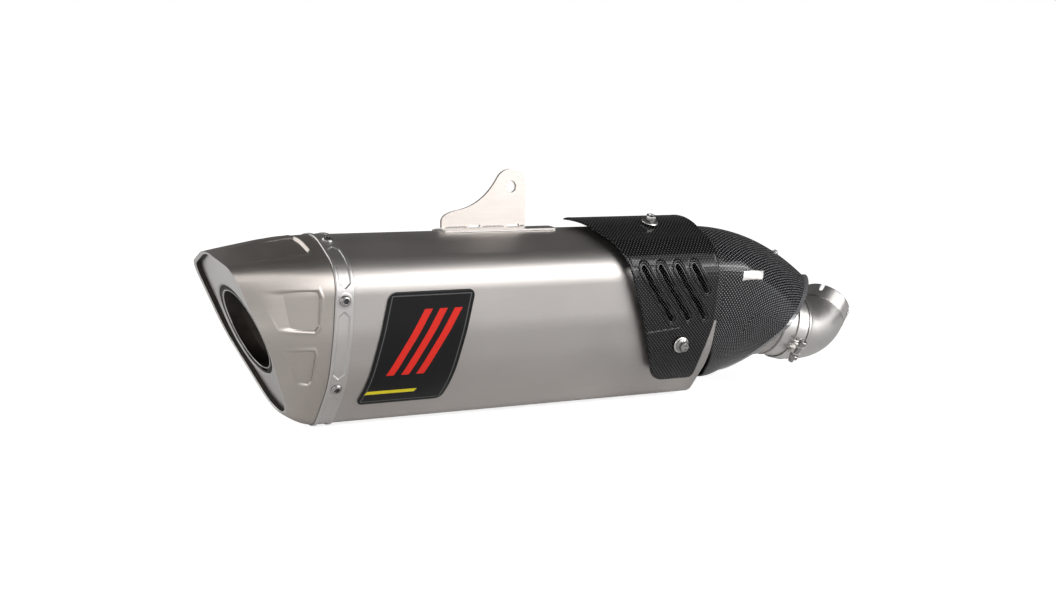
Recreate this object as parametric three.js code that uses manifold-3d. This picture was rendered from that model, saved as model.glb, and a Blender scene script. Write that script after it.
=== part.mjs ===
// A slip-on racing silencer for a motorcycle: a long titanium canister of rounded
// shield-like section, a raked end cap with an oval outlet, a hanger bracket on the
// crown, carbon covers over the front, and a short link elbow that turns in a collar.
//
// Millimetres. +X runs along the canister from the outlet to the inlet, +Z is up,
// and the origin is the centre of the hanger's bolt hole. Inside the canister group,
// X starts at the outlet end of the rear strap and Z at mid-height of the section.

import * as THREE from 'three';
import { mergeVertices } from 'three/addons/utils/BufferGeometryUtils.js';
import Module from 'manifold-3d';

const wasm = await Module();
wasm.setup();

// ---------------------------------------------------------------- driving dimensions

const fitGap = 0.3;             // left between pieces that touch
const slideGap = 0.4;           // left around pieces that slide or turn
const facetRoom = 0.8;          // the most that a flat facet lies inside its curve

// Canister section: fillet corners of the half outline, from the crown to the keel.
const halfWidth = 61.6;         // shoulder corner from the middle plane
const crownHeight = 85.3;
const shoulderHeight = 51.7;
const waistInset = 8;
const flankInset = 20.2;
const flankDepth = 40.4;
const keelDepth = 86.3;
const crownRadius = 56.8;
const shoulderRadius = 28.9;
const waistRadius = 96.7;
const flankRadius = 80;
const keelRadius = 17.7;

// Sleeve and rear strap
const sleeveLength = 369;
const sleeveWall = 1;
const strapWidth = 16;
const strapWall = 1.2;
const rivetAlong = [24, 86, 161];   // along the outline from the crown, each side
const rivetShank = 4.8;
const rivetHead = 9.5;
const rivetHeadHeight = 2.4;
const rivetGrip = 1.4;          // height of the formed end inside the cap

// End cap
const capWall = 1;
const spigotLength = 14;
const rimReach = 55;            // the rim plane's distance behind the strap at mid-height
const rimRake = 0.46;           // how far the rim leans back for each unit of height
const rimCrownDrop = 16.8;
const rimShoulderInset = 11.9;
const rimShoulderRise = 3.2;
const rimWaistInset = 1.5;
const rimKeelDrop = 13.7;
const rimCrownRadius = 52;
const rimShoulderRadius = 14.5;
const rimWaistRadius = 56;
const rimKeelRadius = 30;
const rimHem = 2.2;

// Outlet, its removable damper and the clip that holds it
const outletHalfWidth = 38;
const outletHalfHeight = 36;
const outletHeight = 3.5;
const ovalPower = 2.15;
const linerDish = 2.9;
const linerWall = 1;
const outletWall = 1.2;
const outletStraight = 16;
const coreOverlap = 8;
const damperBoreHalfWidth = 33.2;
const damperBoreHalfHeight = 31.2;
const damperWall = 1.2;
const damperPipeRadius = 18;
const damperReach = 44;         // the damper pipe's inner end
const clipWire = 1.4;
const clipOpening = 0.05;       // share of the clip's loop left open

// Gas path and packing
const coreRadius = 26;
const coreWall = 1.2;
const coreHeight = 4;
const coreRear = 52;
const coreHoleDiameter = 9;
const coreHoleRings = 4;
const coreHolesAround = 6;
const baffleWall = 1.5;
const rearBaffleAt = 70;
const frontBaffleSetback = 26;  // behind the sleeve's front end
const packingGap = 1.5;

// Emblem plate: corners along the canister and along the outline from the crown
const emblemWidth = 77;
const emblemAt = 29.5;
const emblemLean = 16;
const emblemTop = 81;
const emblemBottom = 183;
const emblemCorner = 7;
const emblemWall = 0.8;

// Hanger
const hangerHole = new THREE.Vector3(187.5, 3, 113.7);
const hangerHoleDiameter = 10.5;
const hangerHeadRadius = 15;
const hangerPlate = 3;
const hangerTail = 66.5;        // from the hole back to the tail
const hangerToe = 14;           // from the hole forward to the straight edge
const hangerTailHeight = 12;
const hangerFootGap = 1.8;
const hangerBaseWall = 1.5;
const hangerBaseHalf = 13;      // along the outline, each side of the crown
const hangerBaseRear = 70;
const hangerBaseFront = 36;

// Front dome, collar and cover
const domeWall = 1.1;
const inletPitch = 14;          // degrees that the inlet axis points down
const inletAhead = 123;         // the elbow's start, ahead of the sleeve's end
const inletDrop = 25;           // and below mid-height
const collarLength = 28;
const collarWall = 1.4;
const coverWall = 1.4;
const coverBackInset = 2;
const coverTuckFrom = 30;       // below this depth the back edge tucks up and forward
const coverTuckForward = 16;
const coverTuckUp = 15.4;
const coverRimReach = 112;      // the cover's rim plane at mid-height, from the sleeve's end
const coverRimRake = 1.18;
const coverRimHalfWidth = 42;
const coverRimHalfHeight = 42.8;
const coverRimHeight = -18;
const coverRimPower = 1.5;
const coverLip = 4.5;

// Side shield over the sleeve's front end
const shieldGap = 8;
const shieldWall = 1.5;
const shieldFarEdge = -16;      // along the outline from the crown, on the far side
const shieldTip = 4;            // where the rear edge reaches furthest back
const shieldBottom = 175;
const shieldFrontSetback = 9;
const shieldCrownReach = 130.5; // the rear edge at the crown, behind the sleeve's end
const shieldLean = 0.394;
const shieldHornFrom = 30;      // above this the rear edge curls back into a horn
const shieldHornCurl = 0.006;
const shieldFarLean = 1.2;
const shieldCorner = 15;
const slotWidth = 6;
const slotPitch = 17.5;
const slotCount = 4;
const slotTop = 47.5;
const slotBottom = -3;
const slotShortBottom = 19;
const slotLean = 0.72;
const slotFirstSetback = 90;
const boltSpots = [             // behind the sleeve's end, and along the outline
  { name: 'upper', setback: 57, along: 24 },
  { name: 'lower', setback: 42, along: 139 },
];
const boltShank = 5.4;
const boltHole = 6.4;
const boltFlange = 12.6;
const boltHeadAcross = 8;
const boltHeadHeight = 4;
const boltFlangeHeight = 1.4;
const washerDiameter = 15;
const washerWall = 1.2;
const postDiameter = 11;

// Link elbow, gasket, clamp and slip end
const gasketWall = 1.6;
const gasketLength = 18;
const spigotRadius = 27.4;
const spigotReach = 22;
const pipeWall = 1.2;
const elbowStartRadius = 30.9;
const mouthRadius = 25.4;
const elbowBendRadius = 45;
const elbowBend = 58;
const elbowClocking = -19;      // degrees that the elbow is turned about the inlet axis
const slipLength = 16;
const slitWidth = 3.7;
const slitLength = 8;
const slitCount = 4;
const slitClocking = 50;        // degrees from the inside of the bend
const clampWidth = 10;
const clampWall = 1.3;
const clampSetback = 3;
const clampLug = 9;
const clampLugWall = 2.4;
const clampOpening = 7;
const clampClocking = -57;      // degrees from straight down towards the near side
const clampBoltDiameter = 5;
const clampNutAcross = 8;
const clampNutHeight = 4;
const clampHeadHeight = 4.5;

// ---------------------------------------------------------------- finishes

const finish = (color, roughness, metalness) => ({ color, roughness, metalness });
const finishes = {
  titanium: finish(0xa59d97, 0.38, 1),
  capTitanium: finish(0x9c928b, 0.42, 1),
  brightSteel: finish(0xc9c7c4, 0.3, 1),
  polished: finish(0xd8d6d3, 0.15, 1),
  darkSteel: finish(0x1c1b1b, 0.45, 0.6),
  steel: finish(0x8d8a86, 0.35, 1),
  carbon: finish(0x121213, 0.25, 0),
  wool: finish(0xd8d2b8, 0.95, 0),
  graphite: finish(0x3a3a3c, 0.8, 0.1),
  emblem: finish(0x111112, 0.3, 0),
};

// ---------------------------------------------------------------- outlines

const radians = THREE.MathUtils.degToRad;

// A closed outline in the YZ plane, symmetric about the middle plane, made of
// straight edges and fillets. Distances run from the crown down the near side (-Y)
// to the keel and back up the far side.
class Outline {
  constructor(half) {
    const far = half.slice(1, -1).reverse().map((c) => ({ ...c, y: -c.y }));
    const corners = [...half, ...far].map((c) => ({ at: new THREE.Vector2(-c.y, c.z), r: c.r }));
    const count = corners.length;
    corners.forEach((corner, i) => {
      corner.back = corners[(i + count - 1) % count].at.clone().sub(corner.at);
      corner.ahead = corners[(i + 1) % count].at.clone().sub(corner.at);
      corner.half = Math.acos(corner.back.clone().normalize().dot(corner.ahead.clone().normalize())) / 2;
      corner.run = corner.r / Math.tan(corner.half);
    });
    const room = corners.map((corner, i) => {
      const next = corners[(i + 1) % count];
      return Math.min(1, corner.ahead.length() / (corner.run + next.run));
    });
    corners.forEach((corner, i) => {
      const share = Math.min(room[i], room[(i + count - 1) % count]);
      corner.r *= share;
      corner.run *= share;
      const toBack = corner.back.clone().normalize();
      const toAhead = corner.ahead.clone().normalize();
      const middle = toBack.clone().add(toAhead).normalize();
      corner.centre = corner.at.clone().addScaledVector(middle, corner.r / Math.sin(corner.half));
      corner.enter = corner.at.clone().addScaledVector(toBack, corner.run);
      corner.leave = corner.at.clone().addScaledVector(toAhead, corner.run);
    });
    this.parts = [];
    corners.forEach((corner, i) => {
      this.addArc(corner, i === 0);
      this.addEdge(corner, corners[(i + 1) % count]);
    });
    this.addArc(corners[0], true, true);
    let start = 0;
    for (const part of this.parts) {
      part.start = start;
      start += part.length;
    }
    this.length = start;
  }

  addArc(corner, isHalf, isFirstHalf = false) {
    const from = corner.enter.clone().sub(corner.centre).angle();
    const sweep = Math.PI - 2 * corner.half;
    const begin = isHalf && !isFirstHalf ? from + sweep / 2 : from;
    const turn = isHalf ? sweep / 2 : sweep;
    this.parts.push({ corner, begin, turn, length: turn * corner.r });
  }

  addEdge(corner, next) {
    const from = corner.leave;
    const along = next.enter.clone().sub(from);
    this.parts.push({ from, along, length: along.length() });
  }

  // The point at a distance, and the outward direction there.
  at(distance) {
    const wrapped = ((distance % this.length) + this.length) % this.length;
    const part = this.parts.find((p) => wrapped <= p.start + p.length + 1e-6 && p.length > 1e-9);
    const share = (wrapped - part.start) / part.length;
    if (part.corner) {
      const angle = part.begin + part.turn * share;
      const out = new THREE.Vector2(Math.cos(angle), Math.sin(angle));
      return { point: part.corner.centre.clone().addScaledVector(out, part.corner.r), out };
    }
    const unit = part.along.clone().normalize();
    return {
      point: part.from.clone().addScaledVector(part.along, share),
      out: new THREE.Vector2(unit.y, -unit.x),
    };
  }

  // Distances that follow the curves, with a stop at least every turnStep and edgeStep.
  stops(turnStep, edgeStep) {
    const result = [];
    for (const part of this.parts) {
      const turns = part.corner ? part.turn / turnStep : 0;
      const steps = Math.max(1, Math.ceil(Math.max(turns, part.length / edgeStep) - 1e-6));
      for (let i = 0; i < steps && part.length > 1e-3; i += 1) {
        result.push(part.start + (part.length * i) / steps);
      }
    }
    return result;
  }
}

const section = new Outline([
  { y: 0, z: crownHeight, r: crownRadius },
  { y: halfWidth, z: shoulderHeight, r: shoulderRadius },
  { y: halfWidth - waistInset, z: 0, r: waistRadius },
  { y: halfWidth - flankInset, z: -flankDepth, r: flankRadius },
  { y: 0, z: -keelDepth, r: keelRadius },
]);
const rim = new Outline([
  { y: 0, z: crownHeight - rimCrownDrop, r: rimCrownRadius },
  { y: halfWidth - rimShoulderInset, z: shoulderHeight + rimShoulderRise, r: rimShoulderRadius },
  { y: halfWidth - waistInset - rimWaistInset, z: -rimShoulderRise, r: rimWaistRadius },
  { y: 0, z: -keelDepth - rimKeelDrop, r: rimKeelRadius },
]);
const turnStep = radians(16);
const edgeStep = 17;
const stops = section.stops(turnStep, edgeStep);
const shares = stops.map((stop) => stop / section.length);

const rimPlane = (height) => -rimReach - rimRake * height;
const coverPlane = (height) => sleeveLength + coverRimReach + coverRimRake * height;

// Rings of points, one per stop, that lofts join.
const sectionRing = (x, grow) => stops.map((stop) => {
  const { point, out } = section.at(stop);
  return new THREE.Vector3(x, point.x + out.x * grow, point.y + out.y * grow);
});
const rimRing = (depth, grow) => shares.map((share) => {
  const { point, out } = rim.at(share * rim.length);
  const height = point.y + out.y * grow;
  return new THREE.Vector3(rimPlane(height) + depth, point.x + out.x * grow, height);
});
const bulge = (value, power) => Math.sign(value) * Math.abs(value) ** (2 / power);
const ovalRing = (place, wide, tall, height, power) => shares.map((share) => {
  const turn = 2 * Math.PI * share;
  const z = height + tall * bulge(Math.cos(turn), power);
  return new THREE.Vector3(place(z), -wide * bulge(Math.sin(turn), power), z);
});
const outletRing = (depth, wide, tall) => (
  ovalRing((z) => rimPlane(z) + depth, wide, tall, outletHeight, ovalPower)
);
const roundRing = (x, radius, height) => ovalRing(() => x, radius, radius, height, 2);
const coverRing = (depth, grow) => ovalRing(
  (z) => coverPlane(z) + depth,
  coverRimHalfWidth + grow,
  coverRimHalfHeight + grow,
  coverRimHeight,
  coverRimPower,
);

// ---------------------------------------------------------------- solids

// Welds a geometry, drops empty triangles and turns its faces outwards.
function tidy(geometry) {
  geometry.deleteAttribute('normal');
  geometry.deleteAttribute('uv');
  const welded = mergeVertices(geometry, 1e-4);
  const place = welded.getAttribute('position');
  const index = Array.from(welded.getIndex().array);
  const corner = [0, 1, 2].map(() => new THREE.Vector3());
  const kept = [];
  let volume = 0;
  for (let i = 0; i < index.length; i += 3) {
    const face = index.slice(i, i + 3);
    if (new Set(face).size < 3) continue;
    face.forEach((vertex, k) => corner[k].fromBufferAttribute(place, vertex));
    volume += corner[0].dot(corner[1].clone().cross(corner[2]));
    kept.push(face);
  }
  welded.setIndex((volume < 0 ? kept.map(([a, b, c]) => [a, c, b]) : kept).flat());
  return welded;
}

function fromRings(rings, isLoop) {
  const around = rings[0].length;
  const points = rings.flat();
  const faces = [];
  const bands = isLoop ? rings.length : rings.length - 1;
  for (let i = 0; i < bands; i += 1) {
    const row = i * around;
    const next = ((i + 1) % rings.length) * around;
    for (let j = 0; j < around; j += 1) {
      const k = (j + 1) % around;
      faces.push(row + j, next + j, next + k, row + j, next + k, row + k);
    }
  }
  if (!isLoop) {
    for (const [row, flip] of [[0, false], [(rings.length - 1) * around, true]]) {
      const middle = points.length;
      const sum = new THREE.Vector3();
      for (let j = 0; j < around; j += 1) sum.add(points[row + j]);
      points.push(sum.divideScalar(around));
      for (let j = 0; j < around; j += 1) {
        const k = (j + 1) % around;
        faces.push(...(flip ? [row + k, row + j, middle] : [row + j, row + k, middle]));
      }
    }
  }
  const geometry = new THREE.BufferGeometry().setFromPoints(points);
  geometry.setIndex(faces);
  return tidy(geometry);
}

// A hollow piece: its rings go along the outside and come back along the inside.
const shell = (rings) => fromRings(rings, true);
// A full piece between its first and last ring.
const block = (rings) => fromRings(rings, false);

// A turned piece about X, from a closed profile of [along, radius].
function turned(profile, segments = 16) {
  const points = [...profile, profile[0]].map(([along, radius]) => new THREE.Vector2(radius, along));
  return tidy(new THREE.LatheGeometry(points, segments).rotateZ(-Math.PI / 2));
}

// A full turned piece about X, from a profile that starts and ends on the axis.
function turnedFull(profile, segments = 16) {
  const points = profile.map(([along, radius]) => new THREE.Vector2(radius, along));
  return tidy(new THREE.LatheGeometry(points, segments).rotateZ(-Math.PI / 2));
}

// A hexagonal nut along X from the origin, with a round bore.
function hexNut(across, height, bore) {
  const corner = across / Math.sqrt(3);
  const flats = Array.from({ length: 6 }, (_, i) => (
    new THREE.Vector2(corner, 0).rotateAround(new THREE.Vector2(), (i * Math.PI) / 3)
  ));
  const shape = new THREE.Shape(flats);
  const hole = new THREE.Path();
  hole.absarc(0, 0, bore / 2, 0, 2 * Math.PI, true);
  shape.holes.push(hole);
  const options = { depth: height, bevelEnabled: false, curveSegments: 6 };
  return tidy(new THREE.ExtrudeGeometry(shape, options).rotateY(Math.PI / 2));
}

const toSolid = (geometry) => {
  const place = geometry.getAttribute('position').array;
  const index = geometry.getIndex().array;
  return new wasm.Manifold(new wasm.Mesh({
    numProp: 3,
    vertProperties: new Float32Array(place),
    triVerts: new Uint32Array(index),
  }));
};

function cut(geometry, tools) {
  let result = toSolid(geometry);
  for (const tool of tools) result = result.subtract(toSolid(tool));
  const mesh = result.getMesh();
  const remade = new THREE.BufferGeometry();
  remade.setAttribute('position', new THREE.BufferAttribute(new Float32Array(mesh.vertProperties), 3));
  remade.setIndex(Array.from(mesh.triVerts));
  return tidy(remade);
}

// A rod about a line, used to cut holes.
function rod(from, towards, length, diameter, segments = 12) {
  const geometry = new THREE.CylinderGeometry(diameter / 2, diameter / 2, length, segments);
  const turn = new THREE.Quaternion().setFromUnitVectors(new THREE.Vector3(0, 1, 0), towards);
  return tidy(geometry.applyQuaternion(turn).translate(from.x, from.y, from.z));
}

// The place and outward direction on the canister's surface, raised by grow.
function surface(x, along, grow = 0) {
  const { point, out } = section.at(along);
  const away = new THREE.Vector3(0, out.x, out.y);
  const spot = new THREE.Vector3(x, point.x, point.y).addScaledVector(away, grow);
  return { spot, away };
}

const canister = new THREE.Group();
const inlet = new THREE.Group();
const link = new THREE.Group();

function add(group, name, geometry, look) {
  const mesh = new THREE.Mesh(geometry, new THREE.MeshStandardMaterial(finishes[look]));
  mesh.name = name;
  group.add(mesh);
  return mesh;
}

// Places a piece that was turned about X so that its X points out of the surface.
function stand(mesh, { spot, away }) {
  mesh.position.copy(spot);
  mesh.quaternion.setFromUnitVectors(new THREE.Vector3(1, 0, 0), away);
}

// ---------------------------------------------------------------- sleeve and strap

const strapInside = fitGap;
const strapOutside = strapInside + strapWall;
const spigotOutside = -sleeveWall - fitGap;
const spigotInside = spigotOutside - capWall;
const rivetSpots = [-1, 1].flatMap((side) => rivetAlong.map((along) => (
  surface(strapWidth / 2, side * along, strapOutside)
)));
const rivetTools = rivetSpots.map(({ spot, away }) => (
  rod(spot, away, 20, rivetShank + 2 * fitGap)
));

function makeSleeve() {
  const tube = shell([
    sectionRing(fitGap, 0),
    sectionRing(sleeveLength, 0),
    sectionRing(sleeveLength, -sleeveWall),
    sectionRing(fitGap, -sleeveWall),
  ]);
  add(canister, 'outer_sleeve', cut(tube, rivetTools), 'titanium');
}

function makeStrap() {
  const band = shell([
    sectionRing(0, strapOutside),
    sectionRing(strapWidth, strapOutside),
    sectionRing(strapWidth, strapInside),
    sectionRing(0, strapInside),
  ]);
  add(canister, 'rear_strap', cut(band, rivetTools), 'brightSteel');
  const grip = strapOutside - spigotInside + fitGap + facetRoom;
  const shank = rivetShank / 2;
  const profile = [
    [rivetHeadHeight + fitGap, 0],
    [rivetHeadHeight + fitGap, rivetHead * 0.28],
    [rivetHeadHeight * 0.6 + fitGap, rivetHead * 0.44],
    [fitGap, rivetHead / 2],
    [fitGap, shank],
    [-grip, shank],
    [-grip, shank + 1],
    [-grip - rivetGrip, shank + 0.6],
    [-grip - rivetGrip, 0],
  ];
  rivetSpots.forEach((place, i) => {
    const rivet = add(canister, `rear_rivet_${i + 1}`, turnedFull(profile, 12), 'steel');
    stand(rivet, place);
  });
}

// ---------------------------------------------------------------- end cap and outlet

// The cap's skin runs from the strap to the rim, easing in so that it stays full
// behind the strap and tightens towards the rim.
function capRing(share, grow) {
  const base = sectionRing(-fitGap, grow);
  const edge = rimRing(0, grow);
  const ease = share ** 1.6;
  return base.map((point, i) => new THREE.Vector3(
    THREE.MathUtils.lerp(point.x, edge[i].x, share),
    THREE.MathUtils.lerp(point.y, edge[i].y, ease),
    THREE.MathUtils.lerp(point.z, edge[i].z, ease),
  ));
}

function makeEndCap() {
  const skin = [0, 0.3, 0.65, 1];
  const body = shell([
    sectionRing(spigotLength, spigotOutside),
    sectionRing(-fitGap, spigotOutside),
    ...skin.map((share) => capRing(share, 0)),
    rimRing(0, -rimHem),
    rimRing(capWall, -rimHem),
    rimRing(capWall, -rimHem / 2),
    ...skin.slice(1, -1).reverse().map((share) => capRing(share, -capWall)),
    sectionRing(-fitGap - rimHem, spigotInside),
    sectionRing(spigotLength, spigotInside),
  ]);
  add(canister, 'end_cap', cut(body, rivetTools), 'capTitanium');
}

function makeOutlet() {
  const linerBack = capWall + fitGap;
  add(canister, 'outlet_liner', shell([
    rimRing(linerBack, -rimHem / 2 - fitGap),
    rimRing(linerBack, -rimHem - 4),
    outletRing(linerDish, outletHalfWidth + 2, outletHalfHeight + 2),
    outletRing(linerDish + linerWall, outletHalfWidth, outletHalfHeight),
    outletRing(linerDish + 2 * linerWall, outletHalfWidth, outletHalfHeight),
    outletRing(linerDish + linerWall, outletHalfWidth + 2, outletHalfHeight + 2),
    rimRing(linerBack + linerWall, -rimHem - 4),
    rimRing(linerBack + linerWall, -rimHem / 2 - fitGap),
  ]), 'polished');

  const tube = -fitGap;
  const bore = tube - outletWall;
  const straight = linerDish + linerWall + outletStraight;
  const coreFit = coreRadius + fitGap;
  add(canister, 'outlet_tube', shell([
    outletRing(linerDish + linerWall, outletHalfWidth + tube, outletHalfHeight + tube),
    outletRing(straight, outletHalfWidth + tube, outletHalfHeight + tube),
    roundRing(coreRear - 2, coreFit + outletWall, coreHeight),
    roundRing(coreRear + coreOverlap, coreFit + outletWall, coreHeight),
    roundRing(coreRear + coreOverlap, coreFit, coreHeight),
    roundRing(coreRear - 2, coreFit, coreHeight),
    outletRing(straight, outletHalfWidth + bore, outletHalfHeight + bore),
    outletRing(linerDish + linerWall, outletHalfWidth + bore, outletHalfHeight + bore),
  ]), 'darkSteel');

  const flange = bore - slideGap;
  const front = linerDish + linerWall + clipWire + fitGap;
  const lip = 1;
  const throat = front + 10;
  const wide = damperBoreHalfWidth;
  const tall = damperBoreHalfHeight;
  add(canister, 'damper_insert', shell([
    outletRing(front, outletHalfWidth + flange, outletHalfHeight + flange),
    outletRing(front + damperWall, outletHalfWidth + flange, outletHalfHeight + flange),
    outletRing(front + damperWall, wide + damperWall, tall + damperWall),
    outletRing(throat, wide + damperWall, tall + damperWall),
    roundRing(0, damperPipeRadius + damperWall, coreHeight),
    roundRing(damperReach, damperPipeRadius + damperWall, coreHeight),
    roundRing(damperReach, damperPipeRadius, coreHeight),
    roundRing(0, damperPipeRadius, coreHeight),
    outletRing(throat, wide, tall),
    outletRing(front - lip, wide, tall),
    outletRing(front - lip, wide + lip, tall + lip),
    outletRing(front, wide + lip, tall + lip),
  ]), 'darkSteel');

  // The clip is a loop of wire, open at the bottom.
  const outside = { wide: outletHalfWidth + flange, tall: outletHalfHeight + flange };
  const clipRing = (turn) => {
    const at = (depth, grow) => {
      const z = outletHeight + (outside.tall + grow) * bulge(Math.cos(turn), ovalPower);
      const y = -(outside.wide + grow) * bulge(Math.sin(turn), ovalPower);
      return new THREE.Vector3(rimPlane(z) + depth, y, z);
    };
    const near = front - fitGap - clipWire;
    return [at(near, 0), at(near + clipWire, 0), at(near + clipWire, -clipWire), at(near, -clipWire)];
  };
  const turns = 28;
  const span = Math.PI * (1 - clipOpening);
  const loop = Array.from({ length: turns + 1 }, (_, i) => clipRing(-span + (2 * span * i) / turns));
  add(canister, 'damper_clip', block(loop), 'steel');
}

// ---------------------------------------------------------------- inside the canister

const frontBaffleAt = sleeveLength - frontBaffleSetback;

function makeInside() {
  const length = frontBaffleAt + baffleWall + coreOverlap - coreRear;
  const core = turned([
    [0, coreRadius],
    [length, coreRadius],
    [length, coreRadius - coreWall],
    [0, coreRadius - coreWall],
  ], 24);
  const first = rearBaffleAt - coreRear + 30;
  const last = frontBaffleAt - coreRear - 30;
  const holes = [];
  for (let ring = 0; ring < coreHoleRings; ring += 1) {
    const x = THREE.MathUtils.lerp(first, last, ring / (coreHoleRings - 1));
    for (let spoke = 0; spoke < coreHolesAround / 2; spoke += 1) {
      const turn = (2 * Math.PI * (spoke + 0.5)) / coreHolesAround;
      const towards = new THREE.Vector3(0, Math.cos(turn), Math.sin(turn));
      holes.push(rod(new THREE.Vector3(x, 0, 0), towards, 3 * coreRadius, coreHoleDiameter, 8));
    }
  }
  const tube = add(canister, 'core_tube', cut(core, holes), 'steel');
  tube.position.set(coreRear, 0, coreHeight);

  const inside = -sleeveWall - fitGap;
  const bore = coreRadius + fitGap;
  for (const [name, x] of [['rear_baffle', rearBaffleAt], ['front_baffle', frontBaffleAt]]) {
    add(canister, name, shell([
      sectionRing(x, inside),
      sectionRing(x + baffleWall, inside),
      roundRing(x + baffleWall, bore, coreHeight),
      roundRing(x, bore, coreHeight),
    ]), 'steel');
  }
  const from = rearBaffleAt + baffleWall + fitGap;
  const to = frontBaffleAt - fitGap;
  add(canister, 'packing', shell([
    sectionRing(from, inside - packingGap),
    sectionRing(to, inside - packingGap),
    roundRing(to, coreRadius + packingGap, coreHeight),
    roundRing(from, coreRadius + packingGap, coreHeight),
  ]), 'wool');
}

// ---------------------------------------------------------------- emblem and hanger

// A thin plate that lies on the canister, between two distances along the outline.
// Its ends along X come from reach(along), and it has a row at each distance listed.
function skinPlate(rows, reach, low, high) {
  const rings = rows.map((along) => {
    const [from, to] = reach(along);
    const near = surface(0, along, low).spot;
    const far = surface(0, along, high).spot;
    return [[from, near], [to, near], [to, far], [from, far]].map(([x, spot]) => (
      new THREE.Vector3(x, spot.y, spot.z)
    ));
  });
  return block(rings);
}

const spread = (from, to, count) => (
  Array.from({ length: count + 1 }, (_, i) => THREE.MathUtils.lerp(from, to, i / count))
);
// How much a rounded corner of that radius draws an edge in, at a distance from the end.
const drawIn = (radius, distance) => (
  distance >= radius ? 0 : radius - Math.sqrt(radius ** 2 - (radius - distance) ** 2)
);
const cornerRows = (radius) => [0, 0.12, 0.4, 1].map((share) => share * radius);

function makeEmblem() {
  const rows = [
    ...cornerRows(emblemCorner).map((step) => emblemTop + step),
    ...spread(emblemTop + 2 * emblemCorner, emblemBottom - 2 * emblemCorner, 8),
    ...cornerRows(emblemCorner).reverse().map((step) => emblemBottom - step),
  ];
  const reach = (along) => {
    const fall = (along - emblemTop) / (emblemBottom - emblemTop);
    const left = emblemAt + emblemLean * (1 - fall);
    const inward = drawIn(emblemCorner, Math.min(along - emblemTop, emblemBottom - along));
    return [left + inward, left + emblemWidth - inward];
  };
  const raised = fitGap + emblemWall;
  add(canister, 'emblem_plate', skinPlate(rows, reach, fitGap, raised), 'emblem');
}

const baseTop = fitGap + hangerBaseWall;

function makeHanger() {
  const ends = [hangerHole.x - hangerBaseRear, hangerHole.x + hangerBaseFront];
  const rows = spread(-hangerBaseHalf, hangerBaseHalf, 8);
  add(canister, 'hanger_base', skinPlate(rows, () => ends, fitGap, baseTop), 'brightSteel');

  // The plate's outline in the XZ plane, about the hole.
  const foot = surface(0, 0, baseTop + fitGap).spot.z - hangerHole.z;
  const tail = -hangerTail;
  const step = foot + hangerFootGap;
  const plate = new THREE.Shape();
  plate.moveTo(tail, foot);
  for (const [from, to] of [[-40, -30], [-4, 8]]) {
    plate.lineTo(from, foot);
    plate.lineTo(from, step);
    plate.lineTo(to, step);
    plate.lineTo(to, foot);
  }
  const headTurn = Math.acos(hangerToe / hangerHeadRadius);
  plate.lineTo(hangerToe, foot);
  plate.absarc(0, 0, hangerHeadRadius, headTurn, radians(142), false);
  plate.quadraticCurveTo(-27, foot + hangerTailHeight + 6, tail + 14, foot + hangerTailHeight + 2.5);
  plate.quadraticCurveTo(tail + 1, foot + hangerTailHeight, tail, foot + hangerTailHeight / 2);
  plate.closePath();
  const hole = new THREE.Path();
  hole.absarc(0, 0, hangerHoleDiameter / 2, 0, 2 * Math.PI, true);
  plate.holes.push(hole);
  const options = { depth: hangerPlate, bevelEnabled: false, curveSegments: 10 };
  const sheet = new THREE.ExtrudeGeometry(plate, options).rotateX(Math.PI / 2);
  sheet.translate(0, hangerPlate / 2, 0);
  const bracket = add(canister, 'hanger_bracket', tidy(sheet), 'brightSteel');
  bracket.position.copy(hangerHole);
}

// ---------------------------------------------------------------- front dome and cover

const collarBore = spigotRadius + slideGap + gasketWall + slideGap;
const collarRadius = collarBore + collarWall;
const inletStart = new THREE.Vector3(sleeveLength + inletAhead, 0, -inletDrop);

// A round ring square to the inlet axis, at a distance along it from the elbow's start.
function inletRing(along, radius) {
  const tilt = new THREE.Quaternion().setFromAxisAngle(new THREE.Vector3(0, 1, 0), radians(inletPitch));
  return shares.map((share) => {
    const turn = 2 * Math.PI * share;
    const local = new THREE.Vector3(along, -radius * Math.sin(turn), radius * Math.cos(turn));
    return local.applyQuaternion(tilt).add(inletStart);
  });
}

const blend = (from, to, forward, inward) => from.map((point, i) => new THREE.Vector3(
  THREE.MathUtils.lerp(point.x, to[i].x, forward),
  THREE.MathUtils.lerp(point.y, to[i].y, inward),
  THREE.MathUtils.lerp(point.z, to[i].z, inward),
));

function makeDome() {
  const neck = -collarLength - 2 - fitGap;
  const start = sleeveLength + fitGap;
  const outside = sectionRing(start, spigotOutside);
  const inside = sectionRing(start - domeWall, spigotOutside - domeWall);
  const neckOutside = inletRing(neck, collarRadius);
  const neckInside = inletRing(neck, collarBore);
  const steps = [[0, 0], [0.03, 0.25], [0.08, 0.5], [0.16, 0.7], [0.5, 0.87]];
  add(canister, 'front_dome', shell([
    sectionRing(sleeveLength - spigotLength, spigotOutside),
    ...steps.map(([forward, inward]) => blend(outside, neckOutside, forward, inward)),
    neckOutside,
    neckInside,
    ...steps.slice().reverse().map(([forward, inward]) => blend(inside, neckInside, forward, inward)),
    sectionRing(sleeveLength - spigotLength, spigotOutside - domeWall),
  ]), 'titanium');
}

// The cover's back edge follows the sleeve, and tucks up and forward round the keel.
function coverBack(grow) {
  return sectionRing(sleeveLength + 2, -coverBackInset + grow).map((point) => {
    const tuck = Math.max(0, -coverTuckFrom - point.z) / (keelDepth - coverTuckFrom);
    const forward = coverTuckForward * tuck;
    return new THREE.Vector3(point.x + forward, point.y, point.z + coverTuckUp * tuck ** 2);
  });
}

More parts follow.
